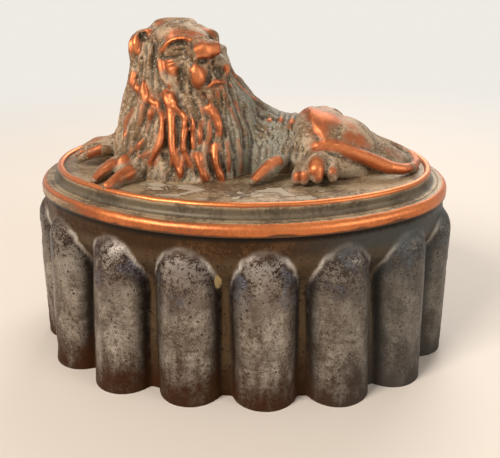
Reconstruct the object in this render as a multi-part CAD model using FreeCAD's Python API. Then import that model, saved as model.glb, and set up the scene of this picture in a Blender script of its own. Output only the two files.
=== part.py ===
import FreeCAD, Part
import math
import os

from FreeCAD import Vector

# Oval jelly mould, standing on its open side. X runs along the oval, with the lion's head towards -X, and the
# lion looks to -Y. The origin is the middle of the mouth, on the surface that the mould stands on.
# All sizes are in millimetres.

# Rim oval, drawn with four arcs. The foot oval is as long and as wide, with fuller corners.
rim_half_length = 88.0
rim_half_width = 66.9
rim_end_radius = 54.0
foot_end_radius = 64.0

# Crown plate: a lip turned down over the wall, then a shelf, a cove, a bead and the platform
copper_wall = 0.9
rim_bottom_height = 70.5
rim_lap = 1.9
rim_round_radius = 2.7
shelf_width = 2.5
cove_radius = 1.8
cove_height = 4.3
bead_radius = 1.4

# Tinned body: a wall with upright round-topped flutes below a plain band
tin_wall = 0.7
flute_count = 16
land_width = 2.0
flute_reach = 4.7
flute_shoulder_height = 55.6
valley_depth = 4.9
valley_top_height = 44.0
band_height = 7.5
flare = 1.0

# Solder
solder_gap = 0.5
rim_solder_leg = 1.3

# Lion: it lies on the platform inside the bead, and is a hollow pressing in two halves
lion_wall = 1.0
lion_height = 60.4
lion_end_margin = 0.6
lion_side_margin = 13.1
lock_count = 20
lock_depth = 2.2
seam_angle = 8.8
tail_radius = 3.2
toe_radius = 3.7

# Cuts run past what they cut by this much
overrun = 4.0

# Lion outline, in shares of its half length, half width and height, from the middle of the platform
seam_side_share = -0.045
mane_shares = (
    # up, along, across, half length, half width
    (-0.10, -0.300, -0.09, 0.440, 0.727),
    (0.00, -0.300, -0.09, 0.440, 0.727),
    (0.15, -0.295, -0.08, 0.435, 0.693),
    (0.30, -0.285, -0.07, 0.405, 0.640),
    (0.46, -0.290, -0.05, 0.362, 0.570),
    (0.60, -0.318, -0.03, 0.298, 0.500),
    (0.76, -0.347, -0.02, 0.258, 0.420),
    (0.89, -0.362, -0.02, 0.205, 0.300),
    (0.97, -0.350, -0.02, 0.090, 0.130),
)
lock_sway_shares = (0.0, 0.0, 0.35, 0.55, 0.30, -0.20, -0.45, -0.30, 0.0)
lock_fade_shares = (1.0, 1.0, 1.0, 1.0, 0.9, 0.75, 0.6, 0.4, 0.1)
torso_shares = (
    # along, across, half width, height
    (-0.26, 0.05, 0.45, 0.36),
    (0.00, 0.05, 0.52, 0.375),
    (0.155, 0.05, 0.51, 0.345),
    (0.30, 0.05, 0.51, 0.340),
    (0.46, 0.05, 0.52, 0.360),
    (0.62, 0.05, 0.48, 0.305),
    (0.76, 0.05, 0.38, 0.205),
    (0.84, 0.06, 0.26, 0.120),
    (0.89, 0.06, 0.15, 0.060),
)
# Rounded lumps: along, across, up, half length, half width, half height
skull_shares = (-0.284, -0.205, 0.695, 0.193, 0.364, 0.305)
near_haunch_shares = (0.450, -0.115, 0.065, 0.280, 0.500, 0.345)
far_haunch_shares = (0.450, 0.205, 0.065, 0.280, 0.477, 0.330)
# Limbs: each row is a station, along, across, up, radius as a share of the lion's height
muzzle_shares = ((-0.27, -0.28, 0.67, 0.18), (-0.18, -0.46, 0.68, 0.15), (-0.12, -0.57, 0.68, 0.11))
nose_shares = ((-0.25, -0.32, 0.86, 0.07), (-0.16, -0.52, 0.84, 0.085), (-0.125, -0.61, 0.82, 0.065))
near_pad_shares = ((-0.20, -0.50, 0.71, 0.055), (-0.18, -0.61, 0.68, 0.090), (-0.17, -0.68, 0.66, 0.045))
far_pad_shares = ((-0.10, -0.40, 0.71, 0.05), (-0.055, -0.48, 0.70, 0.070), (-0.03, -0.53, 0.69, 0.035))
chin_shares = ((-0.14, -0.44, 0.58, 0.09), (-0.085, -0.56, 0.585, 0.085), (-0.06, -0.61, 0.58, 0.045))
near_brow_shares = ((-0.38, -0.38, 0.80, 0.02), (-0.31, -0.45, 0.87, 0.040), (-0.22, -0.46, 0.89, 0.045),
                    (-0.16, -0.45, 0.87, 0.02))
far_brow_shares = ((-0.14, -0.38, 0.88, 0.03), (-0.10, -0.28, 0.90, 0.035), (-0.09, -0.16, 0.86, 0.02))
near_ear_shares = ((-0.49, -0.20, 0.76, 0.07), (-0.52, -0.22, 0.85, 0.080), (-0.525, -0.22, 0.91, 0.045))
far_ear_shares = ((-0.22, 0.10, 0.76, 0.06), (-0.20, 0.17, 0.80, 0.065), (-0.19, 0.21, 0.84, 0.035))
near_foreleg_shares = ((-0.36, -0.20, 0.06, 0.16), (-0.46, -0.42, 0.07, 0.14), (-0.54, -0.60, 0.06, 0.10))
far_foreleg_shares = ((-0.40, 0.12, 0.06, 0.16), (-0.66, 0.08, 0.06, 0.13), (-0.80, 0.04, 0.05, 0.10))
hind_foot_shares = ((0.66, -0.40, 0.03, 0.05), (0.56, -0.50, 0.05, 0.10), (0.42, -0.62, 0.06, 0.12),
                    (0.36, -0.66, 0.05, 0.09))
tuft_shares = ((0.30, -0.42, 0.08, 0.05), (0.24, -0.52, 0.085, 0.085), (0.15, -0.66, 0.05, 0.07),
               (0.075, -0.76, 0.02, 0.02))
tail_shares = ((0.72, 0.08, 0.180), (0.90, 0.20, 0.070), (0.97, 0.06, 0.045), (0.95, -0.22, 0.045),
               (0.85, -0.43, 0.060), (0.72, -0.47, 0.110), (0.60, -0.44, 0.160), (0.48, -0.45, 0.190),
               (0.37, -0.50, 0.160))
tail_width_shares = (1.0, 0.85, 0.7, 0.7, 0.75, 0.9, 1.0, 1.0, 0.7)
# Toes: root, knuckle and tip, along, across, up
toe_shares = (
    ((-0.46, -0.72, 0.095), (-0.52, -0.88, 0.080), (-0.56, -0.95, 0.035)),
    ((-0.50, -0.58, 0.100), (-0.62, -0.72, 0.080), (-0.68, -0.78, 0.035)),
    ((-0.76, -0.13, 0.080), (-0.89, -0.19, 0.060), (-0.93, -0.21, 0.030)),
    ((-0.76, 0.02, 0.090), (-0.90, 0.00, 0.065), (-0.94, 0.00, 0.030)),
    ((-0.74, 0.17, 0.080), (-0.86, 0.19, 0.060), (-0.91, 0.19, 0.030)),
    ((0.44, -0.52, 0.110), (0.375, -0.70, 0.075), (0.35, -0.76, 0.035)),
    ((0.39, -0.48, 0.110), (0.315, -0.66, 0.075), (0.29, -0.73, 0.035)),
)
toe_width_shares = (0.9, 1.0, 0.55)
limb_sides = 8
form_sides = 24
lump_levels = 9
lump_turn = math.radians(84)

# Worked out from the values above
shelf_height = rim_bottom_height + rim_lap + rim_round_radius
platform_height = shelf_height + cove_height
bead_offset = rim_round_radius + shelf_width + cove_radius + bead_radius
platform_offset = bead_offset + bead_radius
wall_top = rim_bottom_height + rim_lap
core_offset = rim_end_radius / 2
reach = 2 * rim_half_length
lion_half_length = rim_half_length - platform_offset - lion_end_margin
lion_half_width = rim_half_width - platform_offset - lion_side_margin


def oval_arcs(end_radius=rim_end_radius):
    """An oval as four arcs from the front one round by the right end: centre, radius, start and turn."""
    end_centre = rim_half_length - end_radius
    side_rise = rim_half_width - end_radius
    side_centre = (end_centre ** 2 - side_rise ** 2) / (2 * side_rise)
    side_radius = rim_half_width + side_centre
    joint_angle = math.atan2(side_centre, end_centre)
    side_turn = math.pi - 2 * joint_angle
    end_turn = 2 * joint_angle
    return (
        (Vector(0, side_centre, 0), side_radius, math.pi + joint_angle, side_turn),
        (Vector(end_centre, 0, 0), end_radius, -joint_angle, end_turn),
        (Vector(0, -side_centre, 0), side_radius, joint_angle, side_turn),
        (Vector(-end_centre, 0, 0), end_radius, math.pi - joint_angle, end_turn),
    )


def outward(angle):
    return Vector(math.cos(angle), math.sin(angle), 0)


def oval_length(end_radius=rim_end_radius):
    return sum(radius * turn for centre, radius, start, turn in oval_arcs(end_radius))


def on_oval(share, end_radius=rim_end_radius):
    """Point on an oval at a share of its length from the middle of the front, and the way out there."""
    arcs = oval_arcs(end_radius)
    distance = share * oval_length(end_radius) + arcs[0][1] * arcs[0][3] / 2
    distance = distance % oval_length(end_radius)
    for centre, radius, start, turn in arcs:
        if distance <= radius * turn:
            break
        distance = distance - radius * turn
    way = outward(start + distance / radius)
    return centre + way * radius, way


def flute_radius():
    """Radius that leaves the flat land between the tops of two flutes on the tight end arcs of the rim."""
    depth = flute_reach + valley_depth
    pitch = oval_length() / flute_count * (rim_end_radius - valley_depth - flare) / rim_end_radius
    half_width = (pitch - land_width) / 2
    return (half_width ** 2 + depth ** 2) / (2 * depth)


def oval_wire(offset, height, end_radius=rim_end_radius):
    """Level outline at an offset from an oval."""
    edges = []
    for centre, radius, start, turn in oval_arcs(end_radius):
        ends = [centre + outward(start + turn * share) * (radius + offset) for share in (0, 0.5, 1)]
        edges.append(Part.Arc(*ends).toShape())
    wire = Part.Wire(edges)
    wire.translate(Vector(0, 0, height))
    return wire


def oval_block(offset, low, high, end_radius=rim_end_radius):
    """Upright block whose outline lies at an offset from an oval."""
    return Part.Face(oval_wire(offset, low, end_radius)).extrude(Vector(0, 0, high - low))


def swept_round(edges):
    """Ring whose section, drawn as offset from the rim oval and height, is carried round the oval."""
    section = Part.Face(Part.Wire(Part.__sortEdges__(edges)))
    pieces = []
    for centre, radius, start, turn in oval_arcs():
        face = section.copy()
        face.translate(Vector(radius, 0, 0))
        face.rotate(Vector(0, 0, 0), Vector(0, 0, 1), math.degrees(start))
        face.translate(centre)
        pieces.append(face.revolve(centre, Vector(0, 0, 1), math.degrees(turn)))
    return pieces


def spot(offset, height):
    return Vector(offset, 0, height)


def lines(points):
    return [Part.makeLine(a, b) for a, b in zip(points, points[1:]) if (b - a).Length > 0]


def round_corner(centre, radius, start, end):
    """Arc of a section, between two angles in degrees counted from outward to up."""
    ends = []
    for share in (0, 0.5, 1):
        angle = math.radians(start + (end - start) * share)
        ends.append(centre + Vector(math.cos(angle), 0, math.sin(angle)) * radius)
    return Part.Arc(*ends).toShape()


def joined(pieces):
    """One solid from pieces that touch or overlap."""
    return pieces[0].fuse(pieces[1:]).removeSplitter()


def heaped(pieces):
    """One solid from pieces that overlap, added one after another."""
    whole = pieces[0]
    for piece in pieces[1:]:
        whole = whole.fuse(piece)
    return whole


# Crown plate
def crown_blank():
    """Pressed copper oval without the opening under the lion."""
    round_centre = spot(-rim_round_radius, wall_top)
    cove_centre = spot(-rim_round_radius - shelf_width, shelf_height + cove_radius)
    riser = -rim_round_radius - shelf_width - cove_radius
    bead_centre = spot(-bead_offset, platform_height)
    inner_bead = bead_radius - copper_wall
    outer = [round_corner(round_centre, rim_round_radius, 0, 90),
             round_corner(cove_centre, cove_radius, -90, -180),
             round_corner(bead_centre, bead_radius, 0, 180)]
    outer += lines([spot(0, rim_bottom_height), spot(0, wall_top)])
    outer += lines([spot(-rim_round_radius, shelf_height), spot(cove_centre.x, shelf_height)])
    outer += lines([spot(riser, cove_centre.z), spot(riser, platform_height)])
    inner = [round_corner(round_centre, rim_round_radius - copper_wall, 0, 90),
             round_corner(cove_centre, cove_radius + copper_wall, -90, -180),
             round_corner(bead_centre, inner_bead, 0, 180)]
    inner += lines([spot(-copper_wall, rim_bottom_height), spot(-copper_wall, wall_top)])
    inner += lines([spot(-rim_round_radius, shelf_height - copper_wall),
                    spot(cove_centre.x, shelf_height - copper_wall)])
    inner += lines([spot(riser - copper_wall, cove_centre.z), spot(riser - copper_wall, platform_height)])
    close = lines([spot(0, rim_bottom_height), spot(-copper_wall, rim_bottom_height)])
    floor_edge = -bead_offset - inner_bead
    low = platform_height - copper_wall
    close += lines([spot(floor_edge, platform_height), spot(floor_edge, low), spot(-platform_offset, low),
                    spot(-platform_offset, platform_height)])
    ring = swept_round(outer + inner + close)
    return joined(ring + [oval_block(-platform_offset, low, platform_height)])


def rim_solder():
    """Fillet inside, between the shelf and the top of the tinned wall."""
    round_centre = spot(-rim_round_radius, wall_top)
    under = shelf_height - copper_wall
    edges = [round_corner(round_centre, rim_round_radius - copper_wall, 0, 90)]
    edges += lines([spot(-rim_round_radius, under), spot(-rim_round_radius - rim_solder_leg, under),
                    spot(-copper_wall - tin_wall, wall_top - rim_solder_leg),
                    spot(-copper_wall - tin_wall, wall_top), spot(-copper_wall, wall_top)])
    return joined(swept_round(edges))


# Fluted body
def wall_core(inset, low, high):
    """Body without its flutes, filled, its outline moved inward by an inset."""
    band = -copper_wall - inset
    band_bottom = rim_bottom_height - band_height
    valley_top = -valley_depth - flare - inset
    foot = -valley_depth - inset
    middle = (band_bottom + valley_top_height) / 2
    fall = Part.BezierCurve()
    fall.setPoles([spot(band, band_bottom), spot(band, middle), spot(valley_top, middle),
                   spot(valley_top, valley_top_height)])
    edges = [fall.toShape()]
    edges += lines([spot(valley_top, valley_top_height), spot(-core_offset, valley_top_height),
                    spot(-core_offset, high), spot(band, high), spot(band, band_bottom)])
    ends = [oval_wire(foot, 0, foot_end_radius), oval_wire(valley_top, valley_top_height)]
    pieces = swept_round(edges) + [oval_block(-core_offset, valley_top_height, high)]
    return pieces + [Part.makeLoft(ends, True, True), oval_block(foot, low, 0, foot_end_radius)]


def flute(number, inset):
    """Round-topped column of one flute, leaning from its place on the rim oval to that on the foot oval."""
    radius = flute_radius() - inset
    place, way = on_oval((number + 0.5) / flute_count)
    shoulder = place + way * (flute_reach - flare - flute_radius()) + Vector(0, 0, flute_shoulder_height)
    place, way = on_oval((number + 0.5) / flute_count, foot_end_radius)
    foot = place + way * (flute_reach - flute_radius())
    lean = (shoulder - foot).normalize()
    length = (shoulder - foot).Length + overrun
    column = Part.makeCylinder(radius, length, shoulder - lean * length, lean)
    return joined([column, Part.makeSphere(radius, shoulder, lean)])


def body_form(inset, low, high):
    return joined(wall_core(inset, low, high) + [flute(number, inset) for number in range(flute_count)])


# Lion
def lion_spot(along, across, up):
    """Place on the lion from shares of its half length, half width and height."""
    return Vector(along * lion_half_length, across * lion_half_width, platform_height + up * lion_height)


def cross_ring(centre, half_width, height, sides):
    """Many-sided oval about a centre, square to the lion's length."""
    corners = []
    for corner in range(sides):
        angle = 2 * math.pi * (corner + 0.5) / sides
        corners.append(centre + Vector(0, half_width * math.cos(angle), height * math.sin(angle)))
    return Part.makePolygon(corners + corners[:1])


def level_ring(centre, half_length, half_width, sides):
    """Many-sided level oval about a centre."""
    corners = []
    for corner in range(sides):
        angle = 2 * math.pi * (corner + 0.5) / sides
        corners.append(centre + Vector(half_length * math.cos(angle), half_width * math.sin(angle), 0))
    return Part.makePolygon(corners + corners[:1])


def lump(shares, inset):
    """Rounded lump with three half sizes, from level sections that shrink towards its top and foot."""
    centre = lion_spot(*shares[:3])
    half_length = shares[3] * lion_half_length - inset
    half_width = shares[4] * lion_half_width - inset
    half_height = shares[5] * lion_height - inset
    wires = []
    for level in range(lump_levels):
        angle = lump_turn * (2 * level / (lump_levels - 1) - 1)
        place = centre + Vector(0, 0, half_height * math.sin(angle))
        share = math.cos(angle)
        wires.append(level_ring(place, half_length * share, half_width * share, form_sides))
    return Part.makeLoft(wires, True, False)


def limb(points, radii, inset):
    """Tapering limb through points, with a flat-sided round section square to its line."""
    wires = []
    for number, (point, radius) in enumerate(zip(points, radii)):
        before = points[max(number - 1, 0)]
        after = points[min(number + 1, len(points) - 1)]
        way = (after - before).normalize()
        side = way.cross(Vector(0, 0, 1)).normalize()
        rise = side.cross(way)
        corners = []
        for corner in range(limb_sides):
            angle = 2 * math.pi * (corner + 0.5) / limb_sides
            corners.append(point + (side * math.cos(angle) + rise * math.sin(angle)) * (radius - inset))
        wires.append(Part.makePolygon(corners + corners[:1]))
    return Part.makeLoft(wires, True, False)


def share_limb(rows, inset=0.0):
    return limb([lion_spot(*row[:3]) for row in rows], [row[3] * lion_height for row in rows], inset)


def mane():
    """Bell of locks: ridges that sway as they fall, with sharp valleys between them."""
    wires = []
    for row, sway, fade in zip(mane_shares, lock_sway_shares, lock_fade_shares):
        up, along, across, half_length, half_width = row
        centre = lion_spot(along, across, up)
        corners = []
        for corner in range(2 * lock_count):
            angle = math.pi * (corner + sway) / lock_count
            depth = lock_depth * fade if corner % 2 else 0
            corners.append(centre + Vector((half_length * lion_half_length - depth) * math.cos(angle),
                                           (half_width * lion_half_width - depth) * math.sin(angle), 0))
        wires.append(Part.makePolygon(corners + corners[:1]))
    return Part.makeLoft(wires, True, False)


def mane_hollow():
    inset = lock_depth + lion_wall
    wires = []
    for up, along, across, half_length, half_width in mane_shares[:-1]:
        wires.append(level_ring(lion_spot(along, across, up), half_length * lion_half_length - inset,
                                half_width * lion_half_width - inset, form_sides))
    return Part.makeLoft(wires, True, False)


def torso(inset):
    wires = []
    for along, across, half_width, height in torso_shares:
        wires.append(cross_ring(lion_spot(along, across, 0), half_width * lion_half_width - inset,
                                height * lion_height - inset, form_sides))
    return Part.makeLoft(wires, True, False)


def tail():
    points = [lion_spot(*row) for row in tail_shares]
    return limb(points, [share * tail_radius for share in tail_width_shares], 0)


def toe(rows):
    return limb([lion_spot(*row) for row in rows], [share * toe_radius for share in toe_width_shares], 0)


def lion_form():
    """Outside of the whole lion, running on below the platform."""
    limbs = (muzzle_shares, nose_shares, near_pad_shares, far_pad_shares, chin_shares, near_brow_shares,
             far_brow_shares, near_ear_shares, far_ear_shares, near_foreleg_shares, far_foreleg_shares,
             hind_foot_shares, tuft_shares)
    forms = [mane(), torso(0)]
    forms += [lump(shares, 0) for shares in (skull_shares, near_haunch_shares, far_haunch_shares)]
    forms += [tail()] + [share_limb(rows) for rows in limbs]
    forms += [toe(rows) for rows in toe_shares]
    return heaped(forms)


def lion_hollow():
    """Inside of the lion: the same main forms, smaller by the wall."""
    forms = [mane_hollow(), torso(lion_wall)]
    forms += [lump(shares, lion_wall) for shares in (skull_shares, near_haunch_shares, far_haunch_shares)]
    forms += [share_limb(rows, lion_wall) for rows in (near_foreleg_shares, far_foreleg_shares)]
    return heaped(forms)


# Splitting and soldering
def slab(low, high):
    """Block between two corners."""
    size = high - low
    return Part.makeBox(size.x, size.y, size.z, low)


def half_space(front, centre, angle, gap):
    """Large block on one side of an upright plane, clear of it by half a gap."""
    block = slab(Vector(-reach, gap / 2, -reach), Vector(reach, reach, reach))
    if front:
        block.rotate(Vector(0, 0, 0), Vector(0, 0, 1), 180)
    block.rotate(Vector(0, 0, 0), Vector(0, 0, 1), angle)
    block.translate(centre)
    return block


def seam_fill(shell, centre, angle, gap):
    """Solder that fills a seam: the section of the shell in the seam plane, as thick as the gap."""
    corners = [Vector(-reach, 0, -reach), Vector(reach, 0, -reach), Vector(reach, 0, reach),
               Vector(-reach, 0, reach)]
    plane = Part.Face(Part.makePolygon(corners + corners[:1]))
    plane.rotate(Vector(0, 0, 0), Vector(0, 0, 1), angle)
    plane.translate(centre)
    across = outward(math.radians(angle + 90))
    fills = []
    for face in shell.common(plane).Faces:
        face.translate(across * (-gap / 2))
        fills.append(face.extrude(across * gap))
    return Part.makeCompound(fills)


def level_slab(low, high):
    return slab(Vector(-reach, -reach, low), Vector(reach, reach, high))


def main():
    os.makedirs("parts", exist_ok=True)
    parts = {}
    middle = Vector(0, 0, 0)

    form = body_form(0, -overrun, wall_top).common(level_slab(0, wall_top))
    wall = form.cut(body_form(tin_wall, -overrun, wall_top + overrun))
    parts["body_front"] = wall.common(half_space(True, middle, 0, solder_gap))
    parts["body_rear"] = wall.common(half_space(False, middle, 0, solder_gap))
    seams = seam_fill(wall, middle, 0, solder_gap)
    parts["side_solder_left"] = seams.common(slab(Vector(-reach, -reach, -reach), Vector(0, reach, reach)))
    parts["side_solder_right"] = seams.common(slab(Vector(0, -reach, -reach), Vector(reach, reach, reach)))

    hollow = lion_hollow()
    shell = lion_form().cut(hollow)
    parts["crown_plate"] = crown_blank().cut(hollow)
    seam_centre = Vector(0, seam_side_share * lion_half_width, 0)
    raised = shell.common(level_slab(platform_height + solder_gap, reach))
    parts["lion_front_half"] = raised.common(half_space(True, seam_centre, seam_angle, solder_gap))
    parts["lion_rear_half"] = raised.common(half_space(False, seam_centre, seam_angle, solder_gap))
    parts["lion_ridge_solder"] = seam_fill(raised, seam_centre, seam_angle, solder_gap)
    parts["lion_base_solder"] = shell.common(level_slab(platform_height, platform_height + solder_gap))
    parts["rim_solder"] = rim_solder()

    for name, shape in parts.items():
        solids = shape.Solids
        whole = solids[0] if len(solids) == 1 else Part.makeCompound(solids)
        whole.exportStep("parts/" + name + ".step")
        print(name, len(solids), "solids", round(whole.Volume, 1), "mm3")


if __name__ == "__main__":
    main()
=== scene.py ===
import math

import bmesh
import bpy
import numpy as np
from mathutils import Matrix, Vector
from mathutils.bvhtree import BVHTree


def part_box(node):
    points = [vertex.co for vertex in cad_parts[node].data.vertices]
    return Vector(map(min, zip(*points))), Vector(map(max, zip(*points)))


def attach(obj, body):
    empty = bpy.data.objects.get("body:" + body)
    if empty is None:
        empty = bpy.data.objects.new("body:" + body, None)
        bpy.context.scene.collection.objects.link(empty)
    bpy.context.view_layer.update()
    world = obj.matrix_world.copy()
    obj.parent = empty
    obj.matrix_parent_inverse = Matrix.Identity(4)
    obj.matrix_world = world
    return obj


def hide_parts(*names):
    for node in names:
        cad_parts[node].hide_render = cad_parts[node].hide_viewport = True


# Oval copper and tin jelly mould with a lying lion. Sizes are in millimetres until a piece is finished.
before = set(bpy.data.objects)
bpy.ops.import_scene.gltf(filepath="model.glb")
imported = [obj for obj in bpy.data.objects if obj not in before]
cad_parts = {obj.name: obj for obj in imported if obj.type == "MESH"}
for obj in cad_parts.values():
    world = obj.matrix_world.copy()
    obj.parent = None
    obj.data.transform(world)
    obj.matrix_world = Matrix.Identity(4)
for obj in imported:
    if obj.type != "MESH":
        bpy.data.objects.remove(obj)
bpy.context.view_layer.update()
to_metres = 0.001
to_millimetres = 1000.0

# Sizes that follow the frame
crown_low, crown_high = (corner * to_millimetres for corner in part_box("crown_plate"))
rim_half_length = crown_high.x
rim_half_width = crown_high.y
rim_bottom_height = crown_low.z
wall_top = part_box("body_front")[1].z * to_millimetres

# Rim oval and the pressed steps inside it
rim_end_radius = 54.0
foot_end_radius = 64.0
copper_wall = 0.9
rim_round_radius = 2.7
shelf_width = 2.5
cove_radius = 1.8
cove_height = 4.3
bead_radius = 1.4
plate_core_offset = 27.0
shelf_height = wall_top + rim_round_radius
platform_height = shelf_height + cove_height
bead_offset = rim_round_radius + shelf_width + cove_radius + bead_radius
shelf_line_offset = rim_round_radius + 0.45 * shelf_width
shelf_line_half_width = 0.3
shelf_line_depth = 0.22
ring_step = 0.85

# Tinned wall
tin_wall = 0.7
flute_count = 16
land_width = 2.0
flute_reach = 4.7
flute_shoulder_height = 55.6
valley_depth = 4.9
valley_top_height = 44.0
band_height = 7.5
flare = 1.0
valley_round = 0.9
columns_per_flute = 46
wall_row_height = 0.82
side_bead_half_width = 1.1
side_bead_columns = 12

# Lion and its seams
solder_gap = 0.5
seam_angle = math.radians(8.8)
seam_side = -2.0
first_clay_grain = 0.6
clay_grain = 0.46
hollow_grain = 1.3
hollow_inset = 2.5
lion_height = 60.2
lion_foot_depth = 8
ray_start_height = 140
limb_sides = 20
stack_sides = 64
stroke_end_share = 0.2
lock_height_share = 0.85
lock_groove_depth = 0.2
lock_root_share = 0.35
lock_tip_share = 0.3
points_per_span = 5
line_softenings = 4

# Shared by several pieces
wave_count = 14
cut_merge = 1e-4
cutter_angle = math.radians(4)
cutter_reach = 6
smooth_angle = math.radians(50)

# The photograph's camera, in millimetres and in pixels of its 500 by 458 frame
camera_place = Vector((29.5, -272.5, 158.7))
camera_target = Vector((3.3, 0.0, 46.8))
focal_pixels = 642.43
photo_width = 500
photo_height = 458
sensor_width = 36.0

forward = (camera_target - camera_place).normalized()
rightward = forward.cross(Vector((0, 0, 1))).normalized()
upward = rightward.cross(forward)


def photo_ray(px, py):
    across, above = px - photo_width / 2, photo_height / 2 - py
    return forward + rightward * across / focal_pixels + upward * above / focal_pixels


def at_depth(px, py, depth):
    """Place under a pixel of the photograph, at a depth along Y."""
    ray = photo_ray(px, py)
    return camera_place + ray * ((depth - camera_place.y) / ray.y)


# Shader expressions
class Value:
    """A socket that shader maths is written with."""

    def __init__(self, nodes, socket):
        self.nodes = nodes
        self.socket = socket

    def math(self, operation, first, second, clamped=False):
        settings = {"operation": operation, "use_clamp": clamped}
        return self.nodes.node("ShaderNodeMath", settings, {0: first, 1: second})

    def __add__(self, other):
        return self.math("ADD", self, other)

    __radd__ = __add__

    def __mul__(self, other):
        return self.math("MULTIPLY", self, other)

    __rmul__ = __mul__

    def __sub__(self, other):
        return self.math("SUBTRACT", self, other)

    def __rsub__(self, other):
        return self.math("SUBTRACT", other, self)

    def above(self, low, high):
        """0 below low and 1 above high, with a soft step between."""
        return self.nodes.node("ShaderNodeMapRange", {"interpolation_type": "SMOOTHSTEP"},
                               {"Value": self, "From Min": low, "From Max": high})

    def below(self, low, high):
        """1 below low and 0 above high, with a soft step between."""
        return 1 - self.above(low, high)

    def kept(self):
        """The value held between 0 and 1."""
        return self.math("ADD", self, 0.0, clamped=True)


class Nodes:
    """A node tree and the ways that nodes are added to it."""

    def __init__(self, tree):
        self.tree = tree

    def node(self, kind, settings=None, sockets=None, output=0):
        made = self.tree.nodes.new(kind)
        for name, setting in (settings or {}).items():
            setattr(made, name, setting)
        for name, value in (sockets or {}).items():
            self.join(made.inputs[name], value)
        return Value(self, made.outputs[output])

    def join(self, socket, value):
        if isinstance(value, Value):
            self.tree.links.new(value.socket, socket)
        else:
            socket.default_value = value

    def mix(self, factor, first, second):
        made = self.tree.nodes.new("ShaderNodeMix")
        made.data_type = "RGBA"
        for name, value in (("Factor_Float", factor), ("A_Color", first), ("B_Color", second)):
            socket = next(s for s in made.inputs if s.identifier == name)
            self.join(socket, value if isinstance(value, Value) or name == "Factor_Float" else (*value, 1.0))
        return Value(self, next(s for s in made.outputs if s.identifier == "Result_Color"))

    def layered(self, colour, *layers):
        """A colour under layers of (mask, colour), the last on top."""
        for mask, over in layers:
            colour = self.mix(mask, colour, over)
        return colour

    def seen(self):
        """1 for rays from the camera and for rays that polished metal mirrors."""
        path = self.tree.nodes.new("ShaderNodeLightPath")
        rays = [Value(self, path.outputs[name]) for name in ("Is Camera Ray", "Is Glossy Ray", "Is Transmission Ray")]
        return (rays[0] + rays[1] + rays[2]).kept()


class Finish(Nodes):
    """One material and the nodes it is made of."""

    def __init__(self, name):
        self.material = bpy.data.materials.new(name)
        self.material.use_nodes = True
        super().__init__(self.material.node_tree)
        self.shader = self.tree.nodes["Principled BSDF"]
        self.place = self.node("ShaderNodeTexCoord", output="Object")

    def attributes(self, *names):
        return [self.node("ShaderNodeAttribute", {"attribute_name": name}, output="Fac") for name in names]

    def stretched(self, scale):
        return self.node("ShaderNodeMapping", sockets={"Vector": self.place, "Scale": scale})

    def noise(self, size, detail=4.0, roughness=0.55, distortion=0.0, place=None):
        """Cloudy pattern whose lumps are about a size in millimetres."""
        sockets = {"Vector": place or self.place, "Scale": to_millimetres / size, "Detail": detail,
                   "Roughness": roughness, "Distortion": distortion}
        return self.node("ShaderNodeTexNoise", sockets=sockets, output="Fac")

    def spots(self, size):
        """Distance from the nearest of many scattered points, 0 on a point."""
        sockets = {"Vector": self.place, "Scale": to_millimetres / size}
        return self.node("ShaderNodeTexVoronoi", sockets=sockets, output="Distance")

    def bump(self, height, depth):
        """Small relief, its depth in millimetres."""
        sockets = {"Height": height, "Distance": depth * to_metres}
        self.join(self.shader.inputs["Normal"], self.node("ShaderNodeBump", sockets=sockets, output="Normal"))

    def surface(self, **sockets):
        for name, value in sockets.items():
            self.join(self.shader.inputs[name.replace("_", " ")], value)
        return self.material


# Colours, as they render under plain light
copper_bright = (0.56, 0.165, 0.055)
copper_deep = (0.33, 0.092, 0.034)
copper_pale = (0.78, 0.39, 0.21)
copper_rim = (0.56, 0.165, 0.05)
patina_brown = (0.20, 0.118, 0.056)
patina_pale = (0.50, 0.365, 0.225)
patina_dark = (0.040, 0.024, 0.013)
patina_green = (0.25, 0.235, 0.165)
patina_blue = (0.17, 0.20, 0.21)
speck_pale = (0.56, 0.47, 0.35)
plate_brown = (0.165, 0.102, 0.052)
plate_pale = (0.40, 0.285, 0.165)
plate_grain = (0.44, 0.35, 0.25)
plate_speck = (0.075, 0.045, 0.026)
# painted shade for the plate's riser, lip edge, bead side and shelf line
plate_hollow_shade = (0.050, 0.042, 0.030)
flake_edge_dark = (0.055, 0.033, 0.02)
flake_pale = (0.46, 0.37, 0.27)
tin_dull = (0.115, 0.084, 0.060)
tin_pale = (0.44, 0.38, 0.31)
tin_cloud = (0.085, 0.056, 0.036)
tin_speck = (0.028, 0.012, 0.008)
tin_pit = (0.020, 0.010, 0.007)
tin_cool = (0.060, 0.061, 0.055)
# painted shade on the sides of the flutes
flute_side_shade = (0.050, 0.031, 0.018)
valley_floor = (0.098, 0.060, 0.028)
# near-black painted shade for the creases at the flutes' edges
valley_dirt = (0.014, 0.008, 0.005)
top_blotch = (0.036, 0.012, 0.007)
top_pale = (0.50, 0.44, 0.39)
# painted bluish sheen on the tops of the flutes
top_blue_sheen = (0.34, 0.38, 0.44)
arch_pale = (0.60, 0.52, 0.43)
foot_brown = (0.038, 0.012, 0.002)
band_warm = (0.036, 0.015, 0.005)
band_cool = (0.045, 0.050, 0.045)
band_rust = (0.14, 0.068, 0.028)
lip_shadow = (0.012, 0.008, 0.005)
chip_bare = (0.50, 0.36, 0.17)
solder_dark = (0.11, 0.095, 0.08)
solder_pale = (0.24, 0.22, 0.19)

# How far the colours of the wall reach, in millimetres of height
foot_colour_top = 27.0
band_colour_start, band_colour_full = 59.0, 64.0
lip_shadow_start, lip_shadow_full = 67.2, 69.4


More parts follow.
